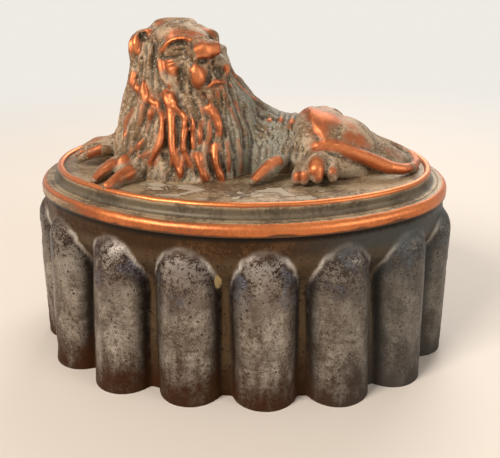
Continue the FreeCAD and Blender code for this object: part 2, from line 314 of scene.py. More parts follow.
def lion_copper():
    """Copper polished on the ridges, under a brown crust that turns grey-green where it is cold in colour."""
    finish = Finish("worn_copper")
    ridge, polish, cold = finish.attributes("ridge", "polish", "cold")
    cloud = finish.noise(7.0, detail=5.0)
    grain = finish.noise(1.3, detail=6.0, roughness=0.7)
    fine = finish.noise(0.5, detail=4.0, roughness=0.7)
    rubbed = polish + ridge * 0.30 + (grain - 0.5) * 0.9 + (cloud - 0.5) * 0.7
    bare = rubbed.above(0.14, 0.62)
    bright = rubbed.above(0.5, 1.1)
    blush = rubbed.above(-0.12, 0.3) * (1 - cold * 0.8)
    crust = finish.layered(
        patina_brown,
        ((cloud + (grain - 0.5) * 0.8).above(0.43, 0.58), patina_pale),
        (cold * (cloud + fine * 0.4).above(0.52, 0.8), patina_green),
        (cold * grain.above(0.5, 0.6) * 0.6, patina_blue),
        (blush * 0.34, copper_deep),
        (ridge.below(-0.45, 0.08) * 0.75, patina_dark),
        (fine.below(0.38, 0.46) * 0.6, patina_dark),
        ((grain + (fine - 0.5) * 0.8).above(0.58, 0.66) * 0.6, speck_pale))
    metal = finish.layered(copper_deep, (bright, copper_bright),
                           (bright * fine.above(0.54, 0.66) * 0.3, copper_pale))
    rough = 0.6 - bare * 0.12 - bright * 0.12 + (grain - 0.5) * 0.2
    finish.bump(grain * 0.6 + fine * 0.4, 0.15)
    return finish.surface(Base_Color=finish.mix(bare * 0.94, crust, metal), Roughness=rough.kept(),
                          Metallic=(0.2 + bare * 0.7).kept(), Specular_IOR_Level=0.25)


def plate_copper():
    """The crown plate: dull olive-brown with pale flakes, bright on the bead and the rim's lip, with painted shade in
    the riser, on the lip's lower edge, beside the bead and in the shelf's line.
    """
    finish = Finish("plate_copper")
    ridge, polish, flaky = finish.attributes("ridge", "polish", "flaky")
    cloud = finish.noise(15.0, detail=5.0)
    grain = finish.noise(1.6, detail=6.0, roughness=0.7)
    fine = finish.noise(0.5, detail=4.0)
    islands = finish.noise(6.5, detail=3.0, distortion=0.4, place=finish.stretched((0.6, 1.0, 1.0)))
    islands = islands + (flaky - 1) * 0.5
    flake = islands.above(0.535, 0.545)
    flake_edge = (islands.above(0.52, 0.53) - flake).kept()
    rubbed = polish + (grain - 0.5) * 0.7 + (cloud - 0.5) * 0.5
    bare = rubbed.above(0.36, 0.6)
    bright = rubbed.above(0.5, 0.95)
    crust = finish.layered(
        plate_brown,
        ((cloud + (grain - 0.5) * 0.4).above(0.42, 0.58), plate_pale),
        (grain.above(0.53, 0.62) * 0.45, plate_grain),
        (fine.above(0.55, 0.62) * 0.45, plate_speck),
        (flake_edge * 0.85, flake_edge_dark),
        (flake * 0.8, flake_pale))
    metal = finish.layered(copper_deep, (bright, copper_rim), (bright * fine.above(0.52, 0.66) * 0.3, copper_pale))
    # where the ridge attribute is low, the plate is darkened with painted shade
    colour = finish.layered(crust, (bare, metal), (ridge.below(-0.75, -0.15) * 0.85, plate_hollow_shade))
    rough = 0.46 - bare * 0.1 + flake * 0.2 + (grain - 0.5) * 0.2
    metallic = 0.3 + bare * 0.65 - flake * 0.25
    finish.bump(grain * 0.5 + fine * 0.25 + flake * 1.2 + cloud, 0.15)
    return finish.surface(Base_Color=colour, Roughness=rough.kept(), Metallic=metallic.kept(),
                          Specular_IOR_Level=0.25)


def worn_tin():
    """Tinned iron gone grey-brown, speckled at the tops of the flutes and dark at the foot and the band, with painted
    shade on the flutes' sides and in the creases beside them and a painted bluish sheen on the tops.
    """
    finish = Finish("worn_tin")
    height = finish.node("ShaderNodeSeparateXYZ", sockets={0: finish.place}, output="Z") * to_millimetres
    flute, dirt, arch, top, chip, cool = finish.attributes("flute", "dirt", "arch", "top", "chip", "cool")
    cloud = finish.noise(13.0, detail=5.0)
    streak = finish.noise(6.0, detail=6.0, roughness=0.6, place=finish.stretched((1.0, 1.0, 0.45)))
    banded = finish.noise(3.0, detail=5.0, roughness=0.7, place=finish.stretched((0.35, 0.35, 2.0)))
    grain = finish.noise(1.5, detail=6.0, roughness=0.75)
    fine = finish.noise(0.5, detail=4.0, roughness=0.7)
    pits = finish.spots(2.6)
    speckle = grain * 0.45 + fine * 0.55 + (streak - 0.5) * 0.4 + (banded - 0.5) * 0.18
    blotch = cloud * 0.6 + grain * 0.4 + (fine - 0.5) * 0.4
    speck = (grain + (fine - 0.5) * 0.9 + top * 0.12 + (cloud - 0.5) * 0.4).above(0.585, 0.64)
    rust = (cloud * 0.5 + grain * 0.5 + (fine - 0.5) * 0.4).above(0.5, 0.57)
    foot = (height + (streak - 0.5) * 34.0 + (grain - 0.5) * 22.0).below(0.0, foot_colour_top)
    band = (height + (cloud - 0.5) * 6.0 + (grain - 0.5) * 4.0).above(band_colour_start, band_colour_full)
    under_lip = (height + (grain - 0.5) * 2.8).above(lip_shadow_start, lip_shadow_full)
    tin = finish.layered(
        tin_dull,
        (speckle.above(0.41, 0.59), tin_pale),
        ((cloud + (grain - 0.5) * 0.6).below(0.43, 0.52) * 0.4, tin_cloud),
        # painted shade on the sides of the flutes, darker towards the valleys
        ((flute + (grain - 0.5) * 0.8).below(0.55, 1.0) * 0.72, flute_side_shade),
        ((flute + (fine - 0.5) * 0.1).below(0.02, 0.12) * 0.8, valley_floor),
        (top * blotch.above(0.45, 0.53) * 0.92, top_blotch),
        (top * blotch.below(0.42, 0.48) * 0.32, top_pale),
        (speck * 0.85, tin_speck),
        # painted bluish sheen on the tops
        (top * cloud.above(0.5, 0.6) * fine.above(0.46, 0.56) * 0.6, top_blue_sheen),
        # near-black painted shade in the creases beside the flutes
        ((dirt * (1.0 + (grain - 0.5) * 1.6)).kept() * 0.95, valley_dirt),
        ((arch * (0.85 + (grain - 0.5) * 2.4)).kept(), arch_pale),
        (pits.below(0.12, 0.28) * grain.above(0.47, 0.52) * 0.9, tin_pit),
        (foot * 0.95, foot_brown),
        (band * (1 - flute * 0.6) * 0.92, finish.mix(cool, band_warm, band_cool)),
        (band * (1 - flute) * rust * (0.45 - cool * 0.3), band_rust),
        (cool * 0.25 + cool * cool * 0.35, tin_cool),
        (under_lip * 0.95, lip_shadow),
        ((chip + (grain - 0.5) * 0.9).above(0.5, 0.62), chip_bare))
    rough = 0.40 + speck * 0.15 + foot * 0.2 + dirt * 0.2 + (fine - 0.5) * 0.2
    metallic = 0.75 - foot * 0.45 - band * 0.5 - speck * 0.3 - dirt * 0.7
    finish.bump(grain * 0.5 + fine * 0.3 + pits.above(0.05, 0.3) * 0.35 + streak * 0.5, 0.18)
    return finish.surface(Base_Color=tin, Roughness=rough.kept(), Metallic=metallic.kept(), Specular_IOR_Level=0.08)


def dull_solder():
    finish = Finish("dull_solder")
    grain = finish.noise(1.2, detail=5.0)
    colour = finish.mix(grain.above(0.35, 0.7), solder_dark, solder_pale)
    finish.bump(grain, 0.15)
    return finish.surface(Base_Color=colour, Roughness=0.45 + grain * 0.2, Metallic=0.5)


def pale_floor(background):
    """Warm white floor that runs out into the background's own colour."""
    finish = Finish("pale_floor")
    floor = finish.surface(Base_Color=(*floor_colour, 1.0), Roughness=0.6)
    away = finish.node("ShaderNodeVectorMath", {"operation": "LENGTH"}, {0: finish.place}, output="Value")
    glow = finish.node("ShaderNodeEmission", sockets={"Color": (*background, 1.0)})
    lit = Value(finish, finish.shader.outputs[0])
    share = finish.seen() * away.above(floor_fade_start, floor_fade_end)
    mixed = finish.node("ShaderNodeMixShader", sockets={0: share, 1: lit, 2: glow})
    finish.join(finish.tree.nodes["Material Output"].inputs["Surface"], mixed)
    return floor


# Shared making
def placed(name, data):
    """New object in the scene."""
    made = bpy.data.objects.new(name, data)
    bpy.context.scene.collection.objects.link(made)
    return made


def shown(mesh, name, material, slot, *nodes):
    """Turns a mesh in millimetres into a finished piece that stands for CAD nodes."""
    mesh.transform(Matrix.Scale(to_metres, 4))
    mesh.materials.clear()
    mesh.materials.append(material)
    mesh.polygons.foreach_set("use_smooth", [True] * len(mesh.polygons))
    mesh.set_sharp_from_angle(angle=smooth_angle)
    piece = placed(name, mesh)
    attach(piece, "root")
    if nodes:
        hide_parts(*nodes)
    return piece


def mesh_from(bm, name):
    mesh = bpy.data.meshes.new(name)
    bm.to_mesh(mesh)
    bm.free()
    return mesh


def points_of(mesh):
    places = np.zeros(len(mesh.vertices) * 3)
    mesh.vertices.foreach_get("co", places)
    return places.reshape(-1, 3)


def normals_of(mesh):
    ways = np.zeros(len(mesh.vertices) * 3)
    mesh.vertex_normals.foreach_get("vector", ways)
    return ways.reshape(-1, 3)


def set_points(mesh, places):
    mesh.vertices.foreach_set("co", places.ravel())
    mesh.update()


def write_attributes(mesh, **layers):
    """Named values for the finish, one for each point or one for all."""
    for name, values in layers.items():
        layer = mesh.attributes.new(name, "FLOAT", "POINT")
        layer.data.foreach_set("value", np.float32(values + np.zeros(len(mesh.vertices))))


def with_modifier(mesh, kind, **settings):
    """The mesh after one modifier."""
    carrier = placed("carrier", mesh)
    modifier = carrier.modifiers.new("step", kind)
    for name, setting in settings.items():
        setattr(modifier, name, setting)
    ready = carrier.evaluated_get(bpy.context.evaluated_depsgraph_get())
    made = bpy.data.meshes.new_from_object(ready)
    bpy.data.objects.remove(carrier)
    return made


def voxel_skin(mesh, grain):
    return with_modifier(mesh, "REMESH", mode="VOXEL", voxel_size=grain)


def soft_waves(places, size, seed):
    """Gentle random swell, about -1 to 1, with waves of about a size in millimetres."""
    chance = np.random.default_rng(seed)
    total = np.zeros(len(places))
    for _ in range(wave_count):
        way = chance.normal(size=3)
        way = way / np.linalg.norm(way) * chance.uniform(0.6, 1.5) * 2 * math.pi / size
        total += np.sin(places @ way + chance.uniform(0, 2 * math.pi))
    return total / math.sqrt(wave_count)


def step(values, low, high):
    """Soft step from 0 at low to 1 at high."""
    share = np.clip((values - low) / (high - low), 0, 1)
    return share * share * (3 - 2 * share)


# Ovals of the rim and of the foot
def oval_arcs(end_radius):
    """Arcs of an oval as long and wide as the rim: centre x and y, radius, start angle and turn."""
    end_centre = rim_half_length - end_radius
    side_rise = rim_half_width - end_radius
    side_centre = (end_centre ** 2 - side_rise ** 2) / (2 * side_rise)
    side_radius = rim_half_width + side_centre
    joint_angle = math.atan2(side_centre, end_centre)
    return (
        # from the front one round by the right end
        (0, side_centre, side_radius, math.pi + joint_angle, math.pi - 2 * joint_angle),
        (end_centre, 0, end_radius, -joint_angle, 2 * joint_angle),
        (0, -side_centre, side_radius, joint_angle, math.pi - 2 * joint_angle),
        (-end_centre, 0, end_radius, math.pi - joint_angle, 2 * joint_angle),
    )


def oval_length(end_radius=rim_end_radius):
    return sum(radius * turn for _, _, radius, _, turn in oval_arcs(end_radius))


def on_oval(shares, end_radius=rim_end_radius):
    """Points on an oval, and the ways out, at shares of its length from the middle of the front."""
    arcs = oval_arcs(end_radius)
    length = oval_length(end_radius)
    left = (np.asarray(shares, float) * length + arcs[0][2] * arcs[0][4] / 2) % length
    spots = np.zeros((len(left), 2))
    ways = np.zeros((len(left), 2))
    passed = 0.0
    for x, y, radius, start, turn in arcs:
        here = (left >= passed) & (left <= passed + radius * turn)
        angle = start + (left[here] - passed) / radius
        ways[here] = np.stack([np.cos(angle), np.sin(angle)], axis=1)
        spots[here] = ways[here] * radius + np.array([x, y])
        passed += radius * turn
    return spots, ways


def flute_radius():
    depth = flute_reach + valley_depth
    pitch = oval_length() / flute_count * (rim_end_radius - valley_depth - flare) / rim_end_radius
    half_width = (pitch - land_width) / 2
    return (half_width ** 2 + depth ** 2) / (2 * depth)


def land_offsets(heights):
    """Offset from the oval of the wall between the flutes, at heights."""
    share = np.linspace(0, 1, 60)
    band_bottom = rim_bottom_height - band_height
    middle = (band_bottom + valley_top_height) / 2
    valley_top = -valley_depth - flare
    weights = np.stack([(1 - share) ** 3, 3 * (1 - share) ** 2 * share, 3 * (1 - share) * share ** 2, share ** 3])
    fall_height = np.array([band_bottom, middle, middle, valley_top_height]) @ weights
    fall_offset = np.array([-copper_wall, -copper_wall, valley_top, valley_top]) @ weights
    above = np.interp(heights, fall_height[::-1], fall_offset[::-1])
    below = valley_top + flare * (valley_top_height - heights) / valley_top_height
    return np.where(heights >= valley_top_height, above, below)


def wall_places(shares, heights):
    """Places on the outside of the tinned wall, and how far each lies on a flute instead of the land."""
    foot_spots, foot_ways = on_oval(shares, foot_end_radius)
    rim_spots, rim_ways = on_oval(shares)
    up_valley = np.clip(heights / valley_top_height, 0, 1)[:, None]
    spots = foot_spots * (1 - up_valley) + rim_spots * up_valley
    ways = foot_ways * (1 - up_valley) + rim_ways * up_valley
    ways /= np.linalg.norm(ways, axis=1)[:, None]
    radius = flute_radius()
    middles = (np.floor(np.asarray(shares) * flute_count) + 0.5) / flute_count
    feet, feet_ways = on_oval(middles, foot_end_radius)
    shoulders, shoulder_ways = on_oval(middles)
    up_flute = np.minimum(heights / flute_shoulder_height, 1)[:, None]
    centres = (feet + feet_ways * (flute_reach - radius)) * (1 - up_flute)
    centres += (shoulders + shoulder_ways * (flute_reach - flare - radius)) * up_flute
    gap = spots - centres
    along = np.sum(gap * ways, axis=1)
    reach = radius ** 2 - np.maximum(heights - flute_shoulder_height, 0) ** 2
    root = along ** 2 - np.sum(gap * gap, axis=1) + reach
    flute = np.where(root > 0, -along + np.sqrt(np.maximum(root, 0)), -2 * radius)
    land = land_offsets(heights)
    offset = (flute + land + np.sqrt((flute - land) ** 2 + valley_round ** 2)) / 2
    offset = np.where(heights > rim_bottom_height, land, offset)
    places = np.column_stack([spots + ways * offset[:, None], heights])
    return places, ways, flute - land


# Tinned wall
def wall_grid(first, last, columns, name):
    """Upright sheet along a stretch of the oval, from the foot to under the rim."""
    rows = round(wall_top / wall_row_height)
    bm = bmesh.new()
    bmesh.ops.create_grid(bm, x_segments=columns, y_segments=rows, size=0.5)
    mesh = mesh_from(bm, name)
    flat = points_of(mesh)
    shares = first + (flat[:, 0] + 0.5) * (last - first)
    heights = (flat[:, 1] + 0.5) * wall_top
    return mesh, shares, heights


def walled(mesh):
    """The sheet with its thickness, its foot flat on the surface that it stands on."""
    made = with_modifier(mesh, "SOLIDIFY", thickness=tin_wall, offset=-1.0, use_even_offset=True)
    places = points_of(made)
    places[:, 2] = np.maximum(places[:, 2], 0)
    set_points(made, places)
    return made


def body_half(name, first, last, seed):
    """Half of the fluted wall, a little dented, with attributes for its finish."""
    mesh, shares, heights = wall_grid(first, last, columns_per_flute * flute_count // 2, name)
    places, ways, stands = wall_places(shares, heights)
    below_rim = step(rim_bottom_height - heights, 0.0, 4.0)
    above_foot = step(heights, 0.0, 5.0)
    swell = 0.22 * soft_waves(places, 26.0, seed)
    swell += 0.1 * soft_waves(places * np.array([1, 1, 1.6]), 8.0, seed + 1)
    swell += 0.035 * soft_waves(places * np.array([0.6, 0.6, 2.2]), 4.0, seed + 2)
    push = (np.minimum(swell - 0.15, 0) - 0.03) * below_rim * (0.35 + 0.65 * above_foot)
    places[:, :2] += ways * push[:, None]
    set_points(mesh, places)
    under_lip = 1 - step(heights, rim_bottom_height - 4, rim_bottom_height - 1)
    ragged = stands + 0.35 * soft_waves(places, 5.0, seed + 3)
    chip_spot = np.array(at_depth(215, 278, valley_depth - rim_half_width))
    write_attributes(
        mesh,
        flute=step(stands, -0.5, 4.5) * under_lip,
        # painted shade in the creases where the flutes rise from the lands, below the arches
        dirt=step(ragged, 0.0, 0.8) * (1 - step(ragged, 2.0, 7.5)) * step(-heights, -60.0, -48.0),
        cool=step(places[:, 0], 12.0, 72.0),
        arch=np.exp(-((ragged - 0.5) / 0.7) ** 2) * step(heights, 46.0, 60.0) * under_lip,
        top=step(stands, -0.5, 1.0) * step(heights, 34.0, 60.0) * under_lip,
        chip=1 - step(np.linalg.norm((places - chip_spot) / (1, 1, 1.8), axis=1), 0.6, 5.0))
    return walled(mesh)


def side_bead(name, middle):
    """Line of solder down a valley at an end of the oval."""
    half_width_share = side_bead_half_width / oval_length()
    mesh, shares, heights = wall_grid(middle - half_width_share, middle + half_width_share, side_bead_columns, name)
    places, ways, _ = wall_places(shares, heights)
    across = (shares - middle) / half_width_share
    lumpy = 0.3 + 0.12 * soft_waves(places, 5.0, 71)
    rise = lumpy * (1 - across ** 2) - 0.04
    rise = np.where(heights > rim_bottom_height - 1, -0.05, rise)
    places[:, :2] += ways * rise[:, None]
    set_points(mesh, places)
    return walled(mesh)


# Crown plate
def arc_points(offset, height, radius, start, end, count):
    """Arc of a section between two angles in degrees, from outward to up."""
    angles = np.radians(np.linspace(start, end, count))
    return [(offset + radius * math.cos(a), height + radius * math.sin(a)) for a in angles]


def straight(first, last, count):
    """Points between two places of a section, without the first."""
    shares = np.linspace(0, 1, count + 1)[1:]
    return [(first[0] + (last[0] - first[0]) * s, first[1] + (last[1] - first[1]) * s) for s in shares]


def plate_section(skin):
    """Section of the crown plate from its lower edge to the core, moved in by the sheet's skin."""
    top = arc_points(-rim_round_radius, wall_top, rim_round_radius - skin, 0, 90, 12)
    cove = -rim_round_radius - shelf_width
    section = [(-skin, rim_bottom_height)] + straight((-skin, rim_bottom_height), top[0], 2)[:-1] + top
    section += [(shelf_line_half_width - shelf_line_offset, shelf_height - skin),
                (-shelf_line_offset, shelf_height - shelf_line_depth - skin),
                (-shelf_line_offset - shelf_line_half_width, shelf_height - skin), (cove + 0.2, shelf_height - skin)]
    section += arc_points(cove, shelf_height + cove_radius, cove_radius + skin, -90, -180, 8)
    section += straight(section[-1], (-bead_offset + bead_radius - skin, platform_height), 4)[:-1]
    section += arc_points(-bead_offset, platform_height, bead_radius - skin, 0, 180, 13)
    if skin:
        section.append((section[-1][0], platform_height - skin))
    section += straight(section[-1], (-plate_core_offset, platform_height - skin), 22)
    return section


def crown_plate():
    """Section carried round the four arcs of the rim oval, and closed over the core."""
    section = plate_section(0.0) + plate_section(copper_wall)[::-1]
    bm = bmesh.new()
    arcs = oval_arcs(rim_end_radius)
    x, y, radius, start, turn = arcs[0]
    way = Vector((math.cos(start), math.sin(start), 0))
    corners = [bm.verts.new(Vector((x, y, height)) + way * (radius + offset)) for offset, height in section]
    edges = [bm.edges.new(pair) for pair in zip(corners, corners[1:])]
    edges.append(bm.edges.new((corners[-1], corners[0])))
    core_edge = len(plate_section(0.0)) - 1
    moving = [edge for number, edge in enumerate(edges) if number != core_edge]
    for x, y, radius, start, turn in arcs:
        steps = round(radius * turn / ring_step)
        made = bmesh.ops.spin(bm, geom=moving, cent=(x, y, 0), axis=(0, 0, 1), angle=turn, steps=steps,
                              use_merge=False)
        moving = [item for item in made["geom_last"] if isinstance(item, bmesh.types.BMEdge)]
    bmesh.ops.remove_doubles(bm, verts=bm.verts, dist=0.01)
    for edge in [e for e in bm.edges if not e.link_faces]:
        bm.edges.remove(edge)
    bmesh.ops.holes_fill(bm, edges=[e for e in bm.edges if e.is_boundary], sides=0)
    bmesh.ops.recalc_face_normals(bm, faces=bm.faces)
    return mesh_from(bm, "crown_plate_sheet")


def oval_offsets(places):
    """Offset of each place from the rim oval, outward positive."""
    (_, side_centre, side_radius, _, _), (end_centre, _, end_radius, _, turn) = oval_arcs(rim_end_radius)[:2]
    x, y = np.abs(places[:, 0]), np.abs(places[:, 1])
    at_end = (np.arctan2(y, x - end_centre) < turn / 2) & (x > end_centre)
    return np.where(at_end, np.hypot(x - end_centre, y) - end_radius, np.hypot(x, y + side_centre) - side_radius)


def finished_plate(cutter):
    """The crown plate with a gentle sag, its worn places and its painted shade as attributes and the lion's hollow
    cut out.
    """
    mesh = crown_plate()
    places = points_of(mesh)
    offsets = oval_offsets(places)
    heights = places[:, 2]
    on_platform = step(-offsets, bead_offset + 1.2, bead_offset + 6.0)
    worn = 0.5 + 0.3 * soft_waves(places, 34.0, 8)
    on_bead = 1 - step(np.abs(offsets + bead_offset), 1.0, 1.7)
    on_bead *= step(heights, platform_height - 0.9, platform_height)
    on_lip = step(offsets, -rim_round_radius + 0.3, -rim_round_radius + 1.1)
    at_left = step(-places[:, 0], 38.0, 78.0) * (1 - step(heights, shelf_height - 1.6, shelf_height - 0.6))
    # Painted shade: the riser under the bead, the lip's lower edge, the platform beside the bead and the shelf's line
    # are darkened, and written below as a negative ridge.
    in_riser = step(-offsets, rim_round_radius + shelf_width - 0.5, rim_round_radius + shelf_width + 0.4)
    in_riser *= 1 - step(-offsets, bead_offset, bead_offset + 0.5)
    in_riser *= 1 - step(heights, platform_height - 1, platform_height)
    ragged_edge = heights + 0.22 * soft_waves(places, 7.0, 9)
    lip_edge = (1 - step(ragged_edge, rim_bottom_height + 0.2, rim_bottom_height + 1.3)) * on_lip
    by_bead = np.exp(-((offsets + bead_offset + 2.2) / 0.7) ** 2) * 0.45
    shelf_line = np.exp(-((offsets + shelf_line_offset) / shelf_line_half_width) ** 2) * 0.5
    polish = on_bead * (0.9 + 0.2 * worn) + on_lip * (0.60 + 0.34 * worn - 0.5 * at_left) + 0.10 * worn
    dark = np.maximum.reduce([in_riser * 0.6, lip_edge, by_bead, shelf_line * (heights < platform_height - 1)])
    flaky = step(-places[:, 1], 26.0, 36.0) * (1 - step(np.abs(places[:, 0] + 4), 36.0, 48.0)) * on_platform
    chipped = np.exp(-((offsets + rim_round_radius - 0.3) / 0.5) ** 2) * (heights > wall_top) * 0.86
    flaky = np.maximum(flaky, chipped)
    sag = 0.14 * soft_waves(places, 22.0, 5) + 0.05 * soft_waves(places, 7.0, 6)
    bump = 0.05 * soft_waves(places, 9.0, 7) * (1 - on_platform) * step(heights, shelf_height - 2, shelf_height)
    places[:, 2] += sag * on_platform + bump
    set_points(mesh, places)
    write_attributes(mesh, polish=polish, ridge=-dark, flaky=flaky)
    return with_modifier(mesh, "BOOLEAN", operation="DIFFERENCE", solver="EXACT", object=cutter)


# Lion clay
class Clay:
    """Heap of closed lumps that become one skin."""

    def __init__(self):
        self.bm = bmesh.new()

    def lump(self, centre, half_sizes, turn=None):
        """Rounded lump with three half sizes, turned by a matrix."""
        made = bmesh.ops.create_icosphere(self.bm, subdivisions=4, radius=1.0)["verts"]
        bmesh.ops.scale(self.bm, vec=half_sizes, verts=made)
        if turn:
            bmesh.ops.rotate(self.bm, cent=(0, 0, 0), matrix=turn, verts=made)
        bmesh.ops.translate(self.bm, vec=centre, verts=made)

    def limb(self, stations):
        """Tapering limb through (x, y, height, radius) stations, with round ends."""
        for (*place, radius), (*next_place, next_radius) in zip(stations, stations[1:]):
            place, next_place = Vector(place), Vector(next_place)
            way = next_place - place
            made = bmesh.ops.create_cone(self.bm, cap_ends=True, segments=limb_sides, radius1=radius,
                                         radius2=next_radius, depth=way.length)["verts"]
            bmesh.ops.rotate(self.bm, cent=(0, 0, 0), matrix=way.to_track_quat("Z", "Y").to_matrix(), verts=made)
            bmesh.ops.translate(self.bm, vec=(place + next_place) / 2, verts=made)
        for *place, radius in stations:
            self.lump(place, (radius, radius, radius))

    def stack(self, levels):
        """Closed stack of level ovals: height, centre x and y, half length and half width."""
        rings = []
        for height, x, y, half_length, half_width in levels:
            ring = bmesh.ops.create_circle(self.bm, segments=stack_sides, radius=1.0)["verts"]
            bmesh.ops.scale(self.bm, vec=(half_length, half_width, 1), verts=ring)
            bmesh.ops.translate(self.bm, vec=(x, y, height), verts=ring)
            rings.append(ring)
        for lower, upper in zip(rings, rings[1:]):
            edges = list({e for v in lower for e in v.link_edges if e.other_vert(v) in lower}
                         | {e for v in upper for e in v.link_edges if e.other_vert(v) in upper})
            bmesh.ops.bridge_loops(self.bm, edges=edges)
        for ring in (rings[0], rings[-1]):
            self.bm.faces.new(ring)

    def skin(self, grain, rounds):
        """One closed mesh round the whole heap, smoothed a little."""
        bmesh.ops.recalc_face_normals(self.bm, faces=self.bm.faces)
        mesh = voxel_skin(mesh_from(self.bm, "clay"), grain)
        return with_modifier(mesh, "SMOOTH", factor=0.5, iterations=rounds)


mane_levels = (
    # height above the platform, centre x, centre y, half length, half width
    (-6, -23.3, -4.0, 32.6, 31.0),
    (0, -23.3, -4.0, 32.6, 31.0),
    (9, -23.0, -3.6, 31.8, 29.6),
    (18, -22.2, -3.2, 29.8, 27.2),
    (27.8, -22.7, -2.4, 26.6, 24.4),
    (36, -25.0, -1.5, 22.4, 21.4),
    (45.9, -27.0, -1.0, 18.8, 17.4),
    (53.5, -28.0, -1.0, 14.6, 13.0),
    (58.3, -27.0, -1.0, 8.0, 7.0),
)
torso_levels = (
    # along, half width, height
    (-20, 20.0, 22.0), (0, 22.0, 22.0), (11, 22.5, 22.2), (19, 22.0, 20.9), (29, 22.0, 20.9), (40, 21.5, 19.2),
    (48, 19.5, 17.4), (55, 16.5, 13.6), (61, 13.0, 9.4), (67, 9.0, 5.2), (71, 5.5, 2.6),
)
body_lumps = (
    # x, y, height above the platform and three half sizes of the chest, the haunches and the rump
    (-22, -8, 41, 14, 15, 17), (30, -4, 3.6, 11, 18, 21.6), (34.5, -4.5, 3.4, 13.5, 18.4, 20.6),
    (42, -4, 3, 17, 18, 18.4), (34, 7, 3.6, 16, 20, 19.4),
)
forelegs = (
    # x, y, height and radius
    ((-28, -10, 83, 9), (-36, -20, 83.5, 8.2), (-43, -28, 82.6, 6)),
    ((-31, 5, 83, 9), (-50, 4, 83.5, 7.6), (-60, 2, 82.5, 5.6)),
)
nape = ((227, 94, 9), (236, 106, 9), (252, 117, 7.5), (271, 121.5, 6))
nape_depth = 2
trunk_side = 2.2
trunk_slice_half_length = 6.0
level_cut_height = 50
tail = (
    # x, y, height and radius
    (57, 3, 88.5, 3.2), (63, 7, 86, 2.8), (69, 9.5, 83.5, 2.3), (73.6, 5.5, 82.2, 2.1), (74.8, -2.4, 81.6, 2.0),
    (72.2, -11.0, 81.6, 2.1), (67, -16.9, 82.4, 2.4), (61.8, -19.3, 83.6, 2.8), (57, -18.4, 85.2, 3.0),
    (51.7, -18.2, 87.2, 3.0), (45.5, -18.6, 89.2, 2.9), (39.5, -18.8, 90.2, 2.8), (34.3, -20.6, 90.0, 2.4),
    (30.3, -22.0, 88.8, 1.8),
)


def main_forms(clay, inset):
    """Mane, trunk, thighs and forelegs, smaller by an inset."""
    clay.stack([(platform_height + height + (0 if height < level_cut_height else -inset / 2), x, y,
                 half_length - inset, half_width - inset) for height, x, y, half_length, half_width in mane_levels])
    for first, following in zip(torso_levels, torso_levels[1:]):
        for share in (0, 1 / 3, 2 / 3):
            x, width, tall = (a + (b - a) * share for a, b in zip(first, following))
            half_sizes = (trunk_slice_half_length, max(width - inset, 1), max(tall - inset, 1))
            clay.lump((x, trunk_side, platform_height), half_sizes)
    for x, y, rise, *half_sizes in body_lumps:
        clay.lump((x, y, platform_height + rise), [size - inset for size in half_sizes])
    clay.limb([(*at_depth(px, py, nape_depth), radius - inset) for px, py, radius in nape])
    for stations in forelegs:
        clay.limb([(*place, radius - inset) for *place, radius in stations])


# The head looks to the right of the front, tipped back a little
head_middle = Vector((-16.25, -16.5, 130.75))
head_right = Vector((0.86, 0.46, 0.222)).normalized()
head_out = Vector((0.431, -0.886, 0.169))
head_out = (head_out - head_right * head_out.dot(head_right)).normalized()
head_up = head_out.cross(head_right)
head_turn = Matrix((head_right, -head_out, head_up)).transposed()


def in_head(right, out, up):
    """Place from sizes counted from between the eyes, in the head's own directions."""
    return head_middle + head_right * right + head_out * out + head_up * up


head_lumps = (
    # right, out and up from between the eyes, then three half sizes: skull, crown, muzzle, pads, cheeks, eyes,
    # chin and jaw
    (-1.5, -14, -2, 11.5, 13, 13.0), (-4, -13, 4.0, 9.0, 9.0, 7.2), (0.0, 1.0, -9.5, 8.4, 7.4, 7.0),
    (-5.1, 6.6, -11.2, 3.6, 3.6, 5.6), (-4.7, 4.6, -8.2, 3.8, 3.2, 4.2), (6.0, 4.6, -11.0, 3.2, 3.4, 5.0),
    (4.6, 3.0, -8.2, 3.8, 3.2, 4.0), (-10.2, -5.5, -9.5, 6.2, 7.6, 9.4), (7.8, -7.0, -9.5, 5.0, 7.0, 9.0),
    (-7.8, -2.4, 0.2, 5.2, 3.4, 4.2), (-7.6, -0.2, -0.3, 2.5, 2.0, 2.0), (6.6, -2.6, -0.6, 3.4, 2.8, 2.8),
    (0.8, 3.6, -18.4, 5.6, 4.8, 4.4), (-14.6, -9.5, -12.0, 4.6, 5.0, 6.4),
)
head_limbs = (
    # right, out, up and radius: nose, cheekbones, brows, lip and throat
    ((-1.0, -7, 4.0, 5.0), (0, 0, 1.3, 5.0), (0.2, 5.0, -0.9, 4.7)),
    ((-3.4, 4.6, -0.8, 2.4), (3.4, 4.6, -0.8, 2.4)),
    ((-4.4, 8.4, -2.9, 2.4), (0, 9.4, -2.4, 2.7), (4.6, 8.4, -2.9, 2.4)),
    ((-4.6, 8.8, -4.6, 1.8), (0, 10.0, -4.2, 2.0), (4.8, 8.8, -4.6, 1.8)),
    ((-13.2, -4.6, -4.9, 2.6), (-10.2, -1.7, -5.2, 2.6), (-6.8, 1.2, -4.9, 1.5)),
    ((11.0, -4.6, -4.9, 2.0), (6.8, 0.8, -4.9, 1.4)),
    ((-13.4, -5.8, -1.2, 1.2), (-12.0, -3.8, 2.2, 1.4), (-8.4, -1.0, 4.2, 1.5), (-4.6, 0.9, 3.6, 1.5)),
    ((-10.6, -5.0, 6.0, 2.4), (-6.6, -2.2, 6.8, 2.6), (-3.2, -1.6, 6.2, 2.4)),
    ((10.2, -5.0, -1.0, 1.3), (9.6, -3.2, 1.2, 1.6), (7.2, -1.0, 2.6, 1.7), (4.4, 0.8, 3.0, 1.7)),
    ((6.0, -3.6, 3.0, 2.2), (3.0, -2.0, 5.0, 2.4)),
    ((-4.6, 4.4, -17.0, 1.7), (-2.2, 6.6, -15.9, 1.8), (1.4, 7.4, -15.0, 1.9), (5.2, 5.6, -15.5, 1.7)),
    ((0.8, 3.4, -20.5, 5.0), (0.8, 0.4, -27, 5.4), (0.4, -4.0, -34, 5.6)),
)
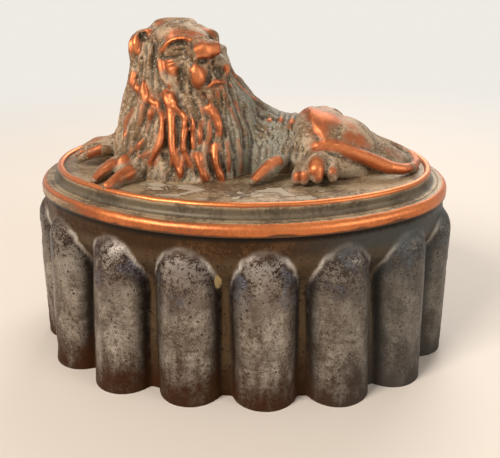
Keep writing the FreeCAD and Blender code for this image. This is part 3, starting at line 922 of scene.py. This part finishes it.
photo_limbs = (
    # pixel x, pixel y, depth and radius: hair over the brow, near ear and its root
    ((163, 32, -3, 5.4), (171, 29.5, -4, 5.0), (180, 28.5, -5, 4.8), (188, 29, -6, 4.4)),
    ((137, 60, -11, 2.2), (135.5, 52, -11, 2.4), (134.8, 45, -10.5, 2.4), (136.3, 38.5, -10, 2.0),
     (140, 33, -9.5, 1.6), (146, 31, -9.5, 1.3), (151.5, 33.5, -9.5, 1.3)),
    ((144, 40, -5.5, 4.4), (152, 42, -4, 5.0)),
    # tuft of the tail
    ((282, 161, -22, 2.8), (275, 164, -25.5, 3.8), (268, 169, -29, 3.8), (260, 175.5, -32, 2.8),
     (251, 183, -36, 1.3)),
    # toes of the forepaws
    ((134, 161, -22, 3.4), (124, 161, -23, 3.4), (113, 165.5, -27, 2.9), (102, 173, -33, 2.4),
     (94, 180.5, -38.5, 1.7)),
    ((138, 172, -30, 3.4), (129, 172.5, -34, 3.4), (119, 177.5, -38.5, 2.9), (111, 183.5, -42, 2.3),
     (106, 187, -44.5, 1.7)),
    ((112, 149, -8, 3.0), (102, 150, -12, 3.1), (91, 153.5, -14, 2.5), (81, 158.5, -15, 1.7)),
    ((108, 146, 0, 3.0), (98, 147, -2, 2.9), (88, 150, -4, 2.3), (78, 154.5, -6, 1.6)),
    ((106, 142, 10, 3.0), (96, 143, 12, 3.0), (87, 147, 12, 2.4), (82, 150, 11, 1.8)),
    # toes, sole and shank of the hind leg
    ((308, 164, -24, 3.0), (301, 168, -29, 2.7), (297, 176, -32, 2.4), (295.5, 181, -33, 1.8)),
    ((313, 162, -25, 3.0), (307, 167, -31, 2.6), (304.5, 175, -34, 2.4), (304, 181, -35, 1.8)),
    ((321, 160, -25, 3.6), (317, 162, -30, 3.7), (316, 170, -33.5, 3.4), (317, 178, -35, 2.4)),
    ((329, 163, -24, 3.0), (331, 168, -28, 3.0), (332, 173, -31, 2.8), (333, 178, -32, 2.0)),
    ((366, 170, -12, 3.4), (346, 170, -19, 4.2), (328, 166, -25, 4.2)),
    ((300, 162, -18, 3.0), (316, 158, -20, 4.0), (336, 158, -16, 4.0)),
)


def small_forms(clay):
    """Features of the head, paws, tail and the tuft at its end."""
    for right, out, up, *half_sizes in head_lumps:
        clay.lump(in_head(right, out, up), half_sizes, head_turn)
    for stations in head_limbs:
        clay.limb([(*in_head(*place), radius) for *place, radius in stations])
    for stations in photo_limbs:
        clay.limb([(*at_depth(*place), radius) for *place, radius in stations])
    clay.limb(tail)


# Strokes of the sculptor
def smooth_line(points, count):
    """Points of a smooth line through given points."""
    points = [np.asarray(p, float) for p in points]
    padded = [2 * points[0] - points[1]] + points + [2 * points[-1] - points[-2]]
    made = []
    for a, b, c, d in zip(padded, padded[1:], padded[2:], padded[3:]):
        for t in np.linspace(0, 1, count, endpoint=False):
            made.append(0.5 * (2 * b + (c - a) * t + (2 * a - 5 * b + 4 * c - d) * t ** 2
                               + (3 * b - a - 3 * c + d) * t ** 3))
    made.append(points[-1])
    return made


class Sculpture:
    """Skin whose points are pushed along its normals by strokes."""

    def __init__(self, mesh):
        self.mesh = mesh
        self.read()

    def read(self):
        self.places = points_of(self.mesh)
        self.ways = normals_of(self.mesh)
        self.tree = None
        edges = np.zeros(len(self.mesh.edges) * 2, dtype=np.int64)
        self.mesh.edges.foreach_get("vertices", edges)
        self.edges = edges.reshape(-1, 2)
        self.links = np.bincount(self.edges.ravel(), minlength=len(self.places))[:, None]
        self.rise = np.zeros(len(self.places))

    def hit(self, start, way):
        """Where a ray from a start first meets the skin."""
        if self.tree is None:
            faces = [tuple(face.vertices) for face in self.mesh.polygons]
            self.tree = BVHTree.FromPolygons([tuple(p) for p in self.places], faces)
        return self.tree.ray_cast(start, way)[0]

    def mean_of_neighbours(self, values):
        total = np.zeros_like(values)
        for column in range(values.shape[1]):
            for a, b in ((0, 1), (1, 0)):
                total[:, column] += np.bincount(self.edges[:, a], weights=values[self.edges[:, b], column],
                                                minlength=len(values))
        return total / self.links

    def under(self, px, py):
        """Place on the skin that a pixel of the photograph shows."""
        return self.hit(camera_place, photo_ray(px, py))

    def photo_line(self, points):
        """Even line on the skin under a smooth line of the photograph."""
        hits = [self.under(*p) for p in smooth_line(points, points_per_span)]
        return evened([np.array(h) for h in hits if h is not None])

    def near(self, line, reach):
        """Points close to a line: their numbers, distance from it and share along it."""
        line = np.array(line)
        low, high = line.min(0) - reach, line.max(0) + reach
        numbers = np.nonzero(np.all((self.places > low) & (self.places < high), axis=1))[0]
        spots = self.places[numbers]
        best = np.full(len(numbers), np.inf)
        share = np.zeros(len(numbers))
        lengths = np.linalg.norm(np.diff(line, axis=0), axis=1)
        total = max(lengths.sum(), 1e-6)
        passed = 0.0
        for start, end, length in zip(line, line[1:], lengths):
            way = end - start
            part = np.clip((spots - start) @ way / max(length ** 2, 1e-9), 0, 1)
            gap = np.linalg.norm(spots - start - part[:, None] * way, axis=1)
            closer = gap < best
            best[closer] = gap[closer]
            share[closer] = (passed + part[closer] * length) / total
            passed += length
        keep = best < reach
        return numbers[keep], best[keep], share[keep]

    def lock(self, line, width, height):
        """Lock of hair with a raised crest that lies over what is there, with a groove beside it."""
        if len(line) < 3:
            return
        numbers, gap, share = self.near(line, width * 2.0)
        ends = taper(share, lock_root_share, lock_tip_share) ** 0.8
        half = width * (0.35 + 0.65 * ends) * (1.7 - 0.75 * share) + 1e-6
        dome = np.clip(1 - (gap / half) ** 2, 0, 1) ** 1.2 * height * lock_height_share * ends
        beside = np.exp(-((gap - half * 1.2) / (half * 0.4)) ** 2) * lock_groove_depth * ends
        self.rise[numbers] += np.where(gap < half, dome, 0) - beside * (gap > half * 0.7)

    def ridges(self, strokes):
        """Ridges under (pixel points, half width, height) strokes of the photograph."""
        for points, width, height in strokes:
            self.ridge(self.photo_line(points), width, height)

    def ridge(self, line, width, height):
        """Smooth ridge, or a groove where the height is negative."""
        if len(line) < 2:
            return
        numbers, gap, share = self.near(line, width)
        ends = taper(share, stroke_end_share, stroke_end_share)
        self.rise[numbers] += height * (1 - (gap / width) ** 2) ** 2 * np.sqrt(ends)

    def press(self):
        """Moves the points by the rise gathered so far."""
        self.places = self.places + self.ways * self.rise[:, None]
        set_points(self.mesh, self.places)
        self.read()

    def soften(self, rounds, amount=0.5):
        for _ in range(rounds):
            self.places += (self.mean_of_neighbours(self.places) - self.places) * amount
        set_points(self.mesh, self.places)
        self.read()

    def regrain(self, grain):
        self.mesh = voxel_skin(self.mesh, grain)
        self.read()

    def convexity(self, rounds):
        """How far each point stands out from its smoothed surroundings, in millimetres."""
        smooth = self.places.copy()
        for _ in range(rounds):
            smooth += (self.mean_of_neighbours(smooth) - smooth) * 0.8
        return np.sum((self.places - smooth) * self.ways, axis=1)


def taper(share, root, tip):
    """1 along a line, falling to 0 over a share of it at its root and its tip."""
    return np.clip(share / root, 0, 1) * np.clip((1 - share) / tip, 0, 1)


def evened(line):
    """A line without jumps between its points."""
    line = np.array(line)
    for _ in range(line_softenings):
        if len(line) > 2:
            line[1:-1] = (line[:-2] + line[1:-1] * 2 + line[2:]) / 4
    return list(line)


face_strokes = (
    # pixel points, half width and height in millimetres
    (((160, 54), (164.5, 46), (171, 40.5), (180, 38), (187, 38.5), (192, 41.5)), 0.95, 0.75),
    (((165, 51), (170, 46), (177, 43), (185, 43.5), (189, 46)), 1.1, -0.7),
    (((168, 53.5), (172, 50), (178, 47.5), (184, 49)), 0.8, 0.35),
    (((159, 57.5), (166, 57.5), (174, 57), (183, 54.5)), 0.9, -0.7),
    (((167, 47.5), (171, 44), (177, 41.5), (183, 42), (187, 45)), 0.7, -0.5),
    (((169, 50), (175, 50), (181, 49.5), (186, 47.5)), 0.7, -0.5),
    (((177.5, 44.5), (179.5, 45)), 0.9, -0.6),
    (((166, 66), (172, 64), (179, 62.5), (187, 61.5)), 1.0, 0.6),
    (((177, 68), (181, 73), (182, 82), (183, 94)), 2.2, -1.3),
    (((189.5, 40), (190.5, 48), (191, 58), (190, 68)), 1.5, -0.9),
    (((190, 72), (190.5, 82), (192, 95)), 1.2, -0.6),
    (((194.5, 61), (197, 57.6), (203, 55.8), (210, 57.2), (217, 57.6)), 0.8, 0.4),
    (((197, 62), (202, 60.5), (207, 61)), 1.3, -1.2),
    (((213, 60), (214.5, 65)), 1.4, -1.5),
    (((209.5, 64), (210.5, 71), (209.5, 79), (206, 87)), 1.5, -1.2),
    (((214, 67), (219, 71), (225, 76)), 3.6, -1.9),
    (((212, 77), (220, 77), (229, 80)), 1.6, -0.9),
    (((205, 90), (211, 84.5), (219, 82), (227, 83.5), (233, 87.5)), 1.0, 0.5),
    (((214, 90), (214.5, 98), (217, 108)), 1.0, -0.6),
    (((221, 90), (222, 98), (223, 108)), 1.0, -0.6),
    (((228, 91), (229, 99), (231, 108)), 1.0, -0.6),
    (((141, 32), (143.5, 36), (146, 41)), 2.4, -1.8),
    (((136.5, 75.5), (137.5, 78.5)), 1.3, -1.7),
    (((141, 56.5), (142.5, 59.5)), 1.1, -1.1),
    (((152, 40), (155, 50), (154, 62), (156, 74)), 1.8, -0.7),
    (((160, 79), (164, 86), (171, 92)), 1.6, -0.8),
    (((193, 33), (198, 36), (205, 37)), 1.3, -0.5),
    (((208, 37), (212, 38), (216, 41)), 1.2, -0.9),
)
thigh_edge = (((303, 110), (307, 118), (312, 128), (317, 137), (323, 143)), 2.4, -0.9)
broad_locks, middle_locks, fine_locks = 19, 37, 83
fur_rib_pitch = 2.5
flank_tufts = 46
back_marks = 90
flank_ribs = (
    (((271, 113), (269.5, 122)), 1.5, 0.9),
    (((283, 113), (280.5, 121), (278.5, 126)), 1.5, 0.9),
    (((294, 114), (291, 122), (288, 129)), 1.5, 0.9),
)
photo_locks = (
    # pixel points, half width, height in millimetres and polish
    (((132, 70), (132, 78), (134, 85), (139, 90), (142, 96)), 1.9, 1.2, 0.8),
    (((146, 82), (144.5, 89), (145.5, 95), (149, 100), (155, 103), (160, 101.5)), 1.8, 1.4, 0.95),
    (((157, 100), (156, 106), (152, 113), (150, 122)), 1.6, 1.0, 0.55),
    (((163, 89), (166, 96), (171, 102), (178, 109)), 2.2, 1.3, 0.9),
    (((134, 106), (131, 113), (127, 121), (125, 129), (124, 139)), 1.4, 1.0, 0.6),
    (((145, 139), (140, 144), (134, 149), (130, 155)), 1.6, 1.1, 0.5),
    (((150, 151), (144, 155), (137, 158)), 1.4, 1.0, 0.45),
    (((139, 95), (141, 102), (143, 109), (142, 118), (139, 128)), 1.6, 1.0, 0.3),
    (((147, 98), (149, 105), (151, 113), (150, 122), (146, 133)), 1.5, 1.0, 0.2),
    (((162, 108), (163, 116), (163, 126), (162, 136), (159.5, 145), (155, 153), (151.5, 160), (151, 169)), 1.5, 1.7,
     0.8),
    (((165, 93), (168, 103), (170, 113), (171, 126), (172, 139), (173.5, 151), (176, 162), (179, 171), (183, 180)),
     1.7, 2.0, 1.0),
    (((169, 112), (173, 108.5), (178, 110), (183, 115), (186, 122), (185, 131), (182.5, 141), (184, 151),
      (188, 161), (192, 171)), 1.4, 1.8, 0.85),
    (((192, 117), (193, 124), (192, 133), (192, 142), (193, 151)), 1.2, 1.2, 0.75),
    (((201, 118), (201, 128), (200, 138), (200, 146)), 1.3, 1.0, 0.55),
    (((209, 118), (210, 128), (209, 138), (208, 147)), 1.3, 1.0, 0.5),
    (((197, 150), (197.5, 159), (200, 168), (204, 176), (208, 183)), 1.6, 1.7, 0.8),
    (((204, 105), (210, 109), (215, 114), (218.5, 121), (220.5, 130), (221, 138)), 1.9, 1.6, 0.85),
    (((214, 141), (214, 150), (214.5, 159), (216.5, 167), (220, 175), (223, 181), (226, 186)), 1.7, 1.9, 0.95),
    (((226, 140), (228, 150), (229, 162), (229, 174)), 1.2, 1.2, 0.4),
    (((236, 138), (239, 150), (241, 163), (241, 176)), 1.2, 1.0, 0.25),
)
dark_gaps = (
    (((166.5, 118), (167.5, 128), (168, 138), (167.5, 150)), 1.3, -1.9),
    (((165, 152), (165, 161), (166, 172)), 2.6, -1.8),
    (((177, 116), (178, 126), (178.5, 137), (178, 148)), 1.7, -1.6),
    (((188.5, 118), (188.5, 128), (188.5, 140), (189.5, 153)), 1.0, -1.7),
    (((196.5, 122), (196.5, 134), (196.5, 144)), 0.9, -1.0),
    (((203, 92), (205, 99), (209, 105)), 1.6, -1.1),
    (((224.5, 118), (226, 128), (226, 139)), 1.6, -1.3),
    (((193, 158), (195.5, 167), (199, 177)), 1.3, -1.3),
    (((209, 153), (210.5, 164), (214, 176)), 2.0, -1.3),
    (((221, 152), (222.5, 163), (225, 174)), 1.2, -1.1),
    (((234, 158), (235, 168), (235.5, 177)), 1.3, -1.4),
    (((156.5, 114), (157, 124), (154.5, 134)), 1.6, -1.1),
    (((131, 152), (133, 143), (136, 132)), 1.3, -1.0),
)
polished_patches = (
    # pixel x, pixel y, radius in millimetres, amount
    (133, 44, 3.4, 1.0), (137, 51, 2.0, 0.8), (149, 30.5, 2.0, 0.6), (160, 22.5, 2.4, 0.5), (168, 20, 2.0, 0.25),
    (203, 45, 3.0, 0.6), (211, 46, 2.6, 0.5), (197, 36, 3.2, 0.3), (162, 65, 2.6, 0.75), (168, 66.5, 3.0, 0.85),
    (174, 70, 2.2, 0.7), (196, 70, 2.6, 0.9), (199, 78, 3.4, 0.95), (203, 73, 2.6, 0.7), (197, 88, 2.2, 0.4),
    (228, 69, 1.9, 0.9), (214, 87, 1.6, 0.4), (221, 86, 1.8, 0.5), (217, 94, 2.2, 0.45), (226, 95, 2.0, 0.35),
    (133, 83, 2.4, 0.7), (205, 97, 2.2, 0.4), (306, 111, 3.2, 0.7), (314, 114, 4.4, 0.75), (322, 117, 6.0, 0.85),
    (332, 118, 5.0, 0.7), (342, 116, 4.0, 0.35), (320, 128, 4.4, 0.7), (324, 136, 3.0, 0.45), (350, 137, 3.4, 0.6),
    (360, 141, 4.0, 0.6), (368, 146, 2.6, 0.4), (352, 126, 3.4, 0.3), (270, 119, 1.7, 0.7), (281, 119, 1.9, 0.7),
    (291, 121, 2.1, 0.8), (290, 127, 1.5, 0.5), (203, 110, 2.2, 0.4), (268, 150, 1.5, 0.2), (284, 150, 1.5, 0.2),
    (126, 161, 2.4, 0.5), (129, 173, 3.2, 0.7), (120, 178, 2.6, 0.5), (298, 176, 2.2, 0.8), (305, 176, 2.0, 0.7),
    (316, 164, 3.4, 1.0), (320, 172, 3.0, 0.9), (312, 170, 2.2, 0.8), (333, 170, 2.0, 0.5), (389, 151, 2.6, 0.35),
    (398, 156, 2.6, 0.3), (97, 141, 2.0, 0.3),
)
polished_lines = (
    # pixel points, half width in millimetres, amount
    (((160, 53), (165, 45), (171, 40), (180, 37.5), (187, 38), (192, 41)), 0.8, 1.0),
    (((164, 43), (171, 35), (180, 32), (190, 32.5), (196, 36)), 1.2, 0.5),
    (((206, 89), (211, 84), (219, 81), (227, 83), (233, 87)), 0.8, 0.5),
    (((194, 52), (200, 50), (207, 50.5), (214, 52), (219.5, 54)), 2.6, 0.9),
    (((131, 157.5), (122, 158.5), (112, 163), (101, 170.5), (93, 179)), 1.5, 0.8),
    (((134, 167.5), (125, 169), (116, 175), (107, 183), (103, 187)), 1.6, 0.9),
    (((103, 146), (94, 147.5), (85, 151), (79, 155)), 1.1, 0.6),
    (((102, 152), (95, 153), (87, 157)), 1.0, 0.6),
    (((283, 159), (276, 160.5), (269, 164.5), (261, 171.5), (252, 181)), 1.5, 0.85),
    (((200, 27), (209, 31), (216, 36.5)), 0.9, 0.5),
    (((308, 151), (317, 147), (326, 145), (336, 145), (347, 148), (360, 153.5), (374, 160), (388, 165), (402, 168),
      (414, 165)), 1.9, 1.0),
    (((340, 150), (352, 155), (366, 162), (380, 168), (394, 171)), 1.6, 0.75),
    (((414, 165), (420, 160), (419, 155), (411, 150)), 1.5, 0.6),
    (((233, 70), (238, 82), (247, 92), (258, 101)), 0.9, 0.5),
    (((226, 100), (232, 112), (240, 126), (246, 138)), 0.7, 0.4),
    (((232, 98), (240, 112), (249, 125)), 0.7, 0.35),
)


def around_mane(places):
    """Angle round the mane's middle line, and height above the platform, of each place."""
    levels = np.array(mane_levels)
    height = places[:, 2] - platform_height
    x, y, half_length, half_width = (np.interp(height, levels[:, 0], levels[:, column]) for column in (1, 2, 3, 4))
    return np.arctan2((places[:, 1] - y) / half_width, (places[:, 0] - x) / half_length), height


def crests(phase, sharpness):
    """Narrow crests with wide soft valleys between them."""
    return (0.5 + 0.5 * np.cos(phase)) ** sharpness


def comb_mane(skin):
    """Long locks that flow down the bell, broad ones with finer ones on them."""
    angle, height = around_mane(skin.places)
    sway = 1.5 * np.sin(height / 11 + 2 * angle) + 1.3 * soft_waves(skin.places, 30.0, 12)
    fine_sway = 1.6 * np.sin(height / 8 + 3 * angle + 1.0) + 1.2 * soft_waves(skin.places, 17.0, 13)
    broad = crests(broad_locks * angle + sway, 1.7) - 0.35
    middle = crests(middle_locks * angle + fine_sway, 1.4) - 0.4
    fine = crests(fine_locks * angle + 2.0 * fine_sway, 1.0) - 0.5
    strength = 0.75 + 0.45 * soft_waves(skin.places, 15.0, 14)
    to_right = step(skin.places[:, 0], -16.0, 0.0)
    rise = broad * 1.4 * (1 - 0.45 * to_right) + middle * 1.15 * strength + fine * (0.42 + 0.3 * to_right)
    lifted = step(height, 58.0, 46.0)
    skin.rise += rise * fade_of_hair(skin.places) * (0.25 + 0.75 * lifted)


def ruffle_flank(skin):
    """Ribs, short tufts and worm-like marks of fur on the side and the back of the trunk."""
    chance = np.random.default_rng(23)
    skin.ridges(flank_ribs)
    angle = skin.places[:, 0] * 2 * math.pi / fur_rib_pitch + 1.5 * soft_waves(skin.places, 14.0, 24)
    gap = np.abs(skin.places[:, 2] - platform_height - 7.5) / 6.0
    x, y = skin.places[:, 0], skin.places[:, 1]
    on_side = step(-y, 6.0, 12.0) * step(x, 8.0, 13.0) * step(-x, -32.0, -26.0) * step(y, -22.0, -19.0)
    skin.rise += (crests(angle, 1.3) - 0.4) * 0.45 * np.clip(1 - gap ** 2, 0, 1) * on_side
    for _ in range(flank_tufts):
        px = chance.uniform(256, 304)
        py = chance.uniform(124, 148)
        points = ((px, py), (px + chance.uniform(-2, 2), py + 2.5),
                  (px + chance.uniform(-2, 2), py + chance.uniform(4, 7)))
        skin.ridge(skin.photo_line(points), 0.6, chance.choice((-0.35, 0.35)))
    for _ in range(back_marks):
        mark_x, mark_y = chance.uniform(6, 56), chance.uniform(6, 24)
        line = []
        for share in np.linspace(0, 1, 5):
            start = Vector((mark_x + 3.5 * share, mark_y + chance.uniform(-0.5, 0.5), ray_start_height))
            hit = skin.hit(start, Vector((0, 0, -1)))
            if hit is not None:
                line.append(np.array(hit))
        skin.ridge(line, 0.8, chance.choice((-0.4, 0.35)))


def shape_lion():
    """The lion's outside: the heap of clay, then the hair, the flank and the face pressed into its skin."""
    clay = Clay()
    main_forms(clay, 0)
    small_forms(clay)
    skin = Sculpture(clay.skin(first_clay_grain, 7))
    comb_mane(skin)
    skin.press()
    skin.ridges(dark_gaps)
    for points, width, height, _ in photo_locks:
        skin.lock(skin.photo_line(points), width, height)
    skin.press()
    skin.regrain(clay_grain)
    skin.soften(1)
    ruffle_flank(skin)
    skin.ridges((*face_strokes, thigh_edge))
    skin.press()
    skin.soften(1, 0.4)
    skin.places[:, 2] = np.clip(skin.places[:, 2], platform_height - lion_foot_depth, platform_height + lion_height)
    set_points(skin.mesh, skin.places)
    return skin


def fade_of_hair(places):
    """1 where the mane grows and 0 over the face, the trunk and the paws."""
    gap = places - np.array(head_middle)
    right, out, up = (gap @ np.array(way) for way in (head_right, head_out, head_up))
    face = np.sqrt((right / 14.5) ** 2 + ((up + 5) / 16.5) ** 2 + ((out - 2) / 15.0) ** 2)
    fade = step(face, 0.85, 1.15) * step(-places[:, 0], -22.0, -6.0)
    paws = step(places[:, 2] - platform_height, 5.0, 11.0)
    before = step(-places[:, 0], 38.0, 46.0) * step(np.abs(places[:, 1] + 12), 30.0, 12.0)
    tuft = step(places[:, 0], -4.0, 2.0) * (1 - step(places[:, 2] - platform_height, 7.0, 12.0))
    return fade * (1 - before * (1 - paws)) * (1 - tuft)


def finish_lion(skin):
    """Writes what the copper's finish needs: what stands out, what is rubbed bright and what is cold in colour."""
    # rounds of smoothing, height that counts as full and weight, for small and for large forms
    stands = sum(np.clip(skin.convexity(rounds) / full, -1, 1) * weight
                 for rounds, full, weight in ((2, 0.10, 0.4), (14, 0.6, 0.6)))
    polish = np.zeros(len(skin.places))
    for px, py, radius, amount in polished_patches:
        hit = skin.under(px, py)
        if hit is not None:
            gap = np.linalg.norm(skin.places - np.array(hit), axis=1)
            polish = np.maximum(polish, amount * (1 - step(gap, radius * 0.1, radius * 1.6)))
    locks = [(points, width, amount * 0.82) for points, width, _, amount in photo_locks]
    for points, width, amount in (*polished_lines, *locks):
        line = skin.photo_line(points)
        if len(line) > 2:
            numbers, gap, share = skin.near(line, width * 2.4)
            ends = taper(share, 0.08, 0.08)
            polish[numbers] = np.maximum(polish[numbers], amount * ends * (1 - step(gap, 0.0, width * 2.4)))
    polish = np.maximum(polish, step(skin.places[:, 1], -6, 16) * 0.27)
    cold = step(skin.places[:, 0], -14, 4) * (1 - step(skin.places[:, 0], 14, 34))
    low = step(-(skin.places[:, 2] - platform_height), -9.0, -2.0) * 0.5
    write_attributes(skin.mesh, ridge=stands, polish=polish, cold=np.maximum(np.maximum(cold, low), 0.15))


def cut_across(bm, centre, way):
    """Cuts away what lies beyond a plane and closes the walls there."""
    geometry = bm.verts[:] + bm.edges[:] + bm.faces[:]
    bmesh.ops.bisect_plane(bm, geom=geometry, dist=cut_merge, plane_co=centre, plane_no=way, clear_outer=True)
    rim = [e for e in bm.edges if e.is_boundary]
    bmesh.ops.triangle_fill(bm, edges=rim, use_beauty=True, normal=way)


def hollow_skin():
    """The lion's inside, facing inwards."""
    hollow = Clay()
    main_forms(hollow, hollow_inset)
    inner = hollow.skin(hollow_grain, 3)
    write_attributes(inner, ridge=-0.7, polish=0.0, cold=0.3)
    inner.flip_normals()
    return inner


def opening_cutter(inner):
    """Upright block with the outline of the lion's hollow where it meets the platform."""
    bm = bmesh.new()
    bm.from_mesh(inner)
    geometry = bm.verts[:] + bm.edges[:] + bm.faces[:]
    bmesh.ops.bisect_plane(bm, geom=geometry, dist=cut_merge, plane_co=(0, 0, platform_height),
                           plane_no=(0, 0, 1), clear_outer=True, clear_inner=True)
    bmesh.ops.dissolve_limit(bm, angle_limit=cutter_angle, verts=bm.verts, edges=bm.edges)
    bmesh.ops.translate(bm, vec=(0, 0, -cutter_reach), verts=bm.verts)
    bmesh.ops.triangle_fill(bm, edges=bm.edges, use_beauty=True, normal=(0, 0, 1))
    made = bmesh.ops.extrude_face_region(bm, geom=bm.faces[:])
    raised = [v for v in made["geom"] if isinstance(v, bmesh.types.BMVert)]
    bmesh.ops.translate(bm, vec=(0, 0, 2 * cutter_reach), verts=raised)
    bmesh.ops.recalc_face_normals(bm, faces=bm.faces)
    return placed("opening_block", mesh_from(bm, "opening_block"))


def part_of_shell(shell, name, low, high, near_side, far_side):
    """Piece of the lion between two heights and between two planes across the seam."""
    bm = shell.copy()
    up = Vector((0, 0, 1))
    across = Vector((-math.sin(seam_angle), math.cos(seam_angle), 0))
    seam = Vector((0, seam_side, 0))
    for start, way, place, outward in ((Vector(), up, low, -1), (Vector(), up, high, 1),
                                       (seam, across, near_side, -1), (seam, across, far_side, 1)):
        if place is not None:
            cut_across(bm, start + way * place, way * outward)
    bmesh.ops.recalc_face_normals(bm, faces=bm.faces)
    return mesh_from(bm, name)


# Making
lion_finish = lion_copper()
plate_finish = plate_copper()
tin_finish = worn_tin()
solder_finish = dull_solder()

lion = shape_lion()
finish_lion(lion)
inner = hollow_skin()
shell = bmesh.new()
shell.from_mesh(lion.mesh)
shell.from_mesh(inner)
foot = platform_height + solder_gap
half_gap = solder_gap / 2
lion_parts = (
    # lowest and highest place, nearest and farthest side of the seam, then name, finish, slot and CAD node
    (foot, None, None, -half_gap, "lion_front", lion_finish, "copper", "lion_front_half"),
    (foot, None, half_gap, None, "lion_rear", lion_finish, "copper", "lion_rear_half"),
    (foot, None, -half_gap, half_gap, "lion_seam", lion_finish, "solder", "lion_ridge_solder"),
    (platform_height, foot, None, None, "lion_foot_seam", plate_finish, "solder", "lion_base_solder"),
)
for low, high, near_side, far_side, name, *looks in lion_parts:
    shown(part_of_shell(shell, name, low, high, near_side, far_side), name, *looks)
shell.free()

cutter = opening_cutter(inner)
shown(finished_plate(cutter), "crown_sheet", plate_finish, "copper", "crown_plate")
bpy.data.objects.remove(cutter)

gap_share = half_gap / oval_length()
for name, first, last, seed, node in (("wall_front", -0.25, 0.25, 31, "body_front"),
                                      ("wall_rear", 0.25, 0.75, 41, "body_rear")):
    shown(body_half(name, first + gap_share, last - gap_share, seed), name, tin_finish, "tinned_iron", node)
for name, middle, node in (("seam_right", 0.25, "side_solder_right"), ("seam_left", 0.75, "side_solder_left")):
    shown(side_bead(name, middle), name, solder_finish, "solder", node)
rim_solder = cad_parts["rim_solder"].data.materials
rim_solder.clear()
rim_solder.append(solder_finish)

# Floor, light and camera
background = (0.86, 0.83, 0.78)
floor_colour = (0.74, 0.64, 0.545)
floor_reach = 6.0
floor_fade_start, floor_fade_end = 0.16, 0.75
room_glow, seen_glow = 0.44, 0.56
lamp_target = Vector((0, 0, 0.06))
lamps = (
    # name, place and width in metres, power and colour
    ("key", (-0.62, -0.72, 0.8), 0.42, 13.0, (1.0, 0.97, 0.93)),
    ("fill", (0.9, -0.5, 0.45), 0.5, 3.6, (0.92, 0.96, 1.0)),
    ("back", (0.2, 0.9, 0.8), 0.8, 8.0, (1.0, 1.0, 1.0)),
)
floor_sheet = bmesh.new()
bmesh.ops.create_grid(floor_sheet, x_segments=1, y_segments=1, size=floor_reach)
floor = placed("floor", mesh_from(floor_sheet, "floor"))
floor.data.materials.append(pale_floor(background))

for name, place, width, power, colour in lamps:
    light = bpy.data.lights.new(name, "AREA")
    light.size = width
    light.energy = power
    light.color = colour
    lamp = placed(name, light)
    lamp.location = place
    lamp.rotation_euler = (lamp_target - Vector(place)).to_track_quat("-Z", "Y").to_euler()

world = bpy.data.worlds.new("room")
bpy.context.scene.world = world
world.use_nodes = True
room = Nodes(world.node_tree)
sky = room.tree.nodes["Background"]
sky.inputs["Color"].default_value = (*background, 1.0)
room.join(sky.inputs["Strength"], room.seen() * seen_glow + room_glow)

camera_data = bpy.data.cameras.new("camera")
camera_data.sensor_width = sensor_width
camera_data.lens = focal_pixels * sensor_width / photo_width
camera = placed("camera", camera_data)
camera.location = camera_place * to_metres
camera.rotation_euler = forward.to_track_quat("-Z", "Y").to_euler()
bpy.context.scene.camera = camera

bpy.context.scene.view_settings.view_transform = "Standard"
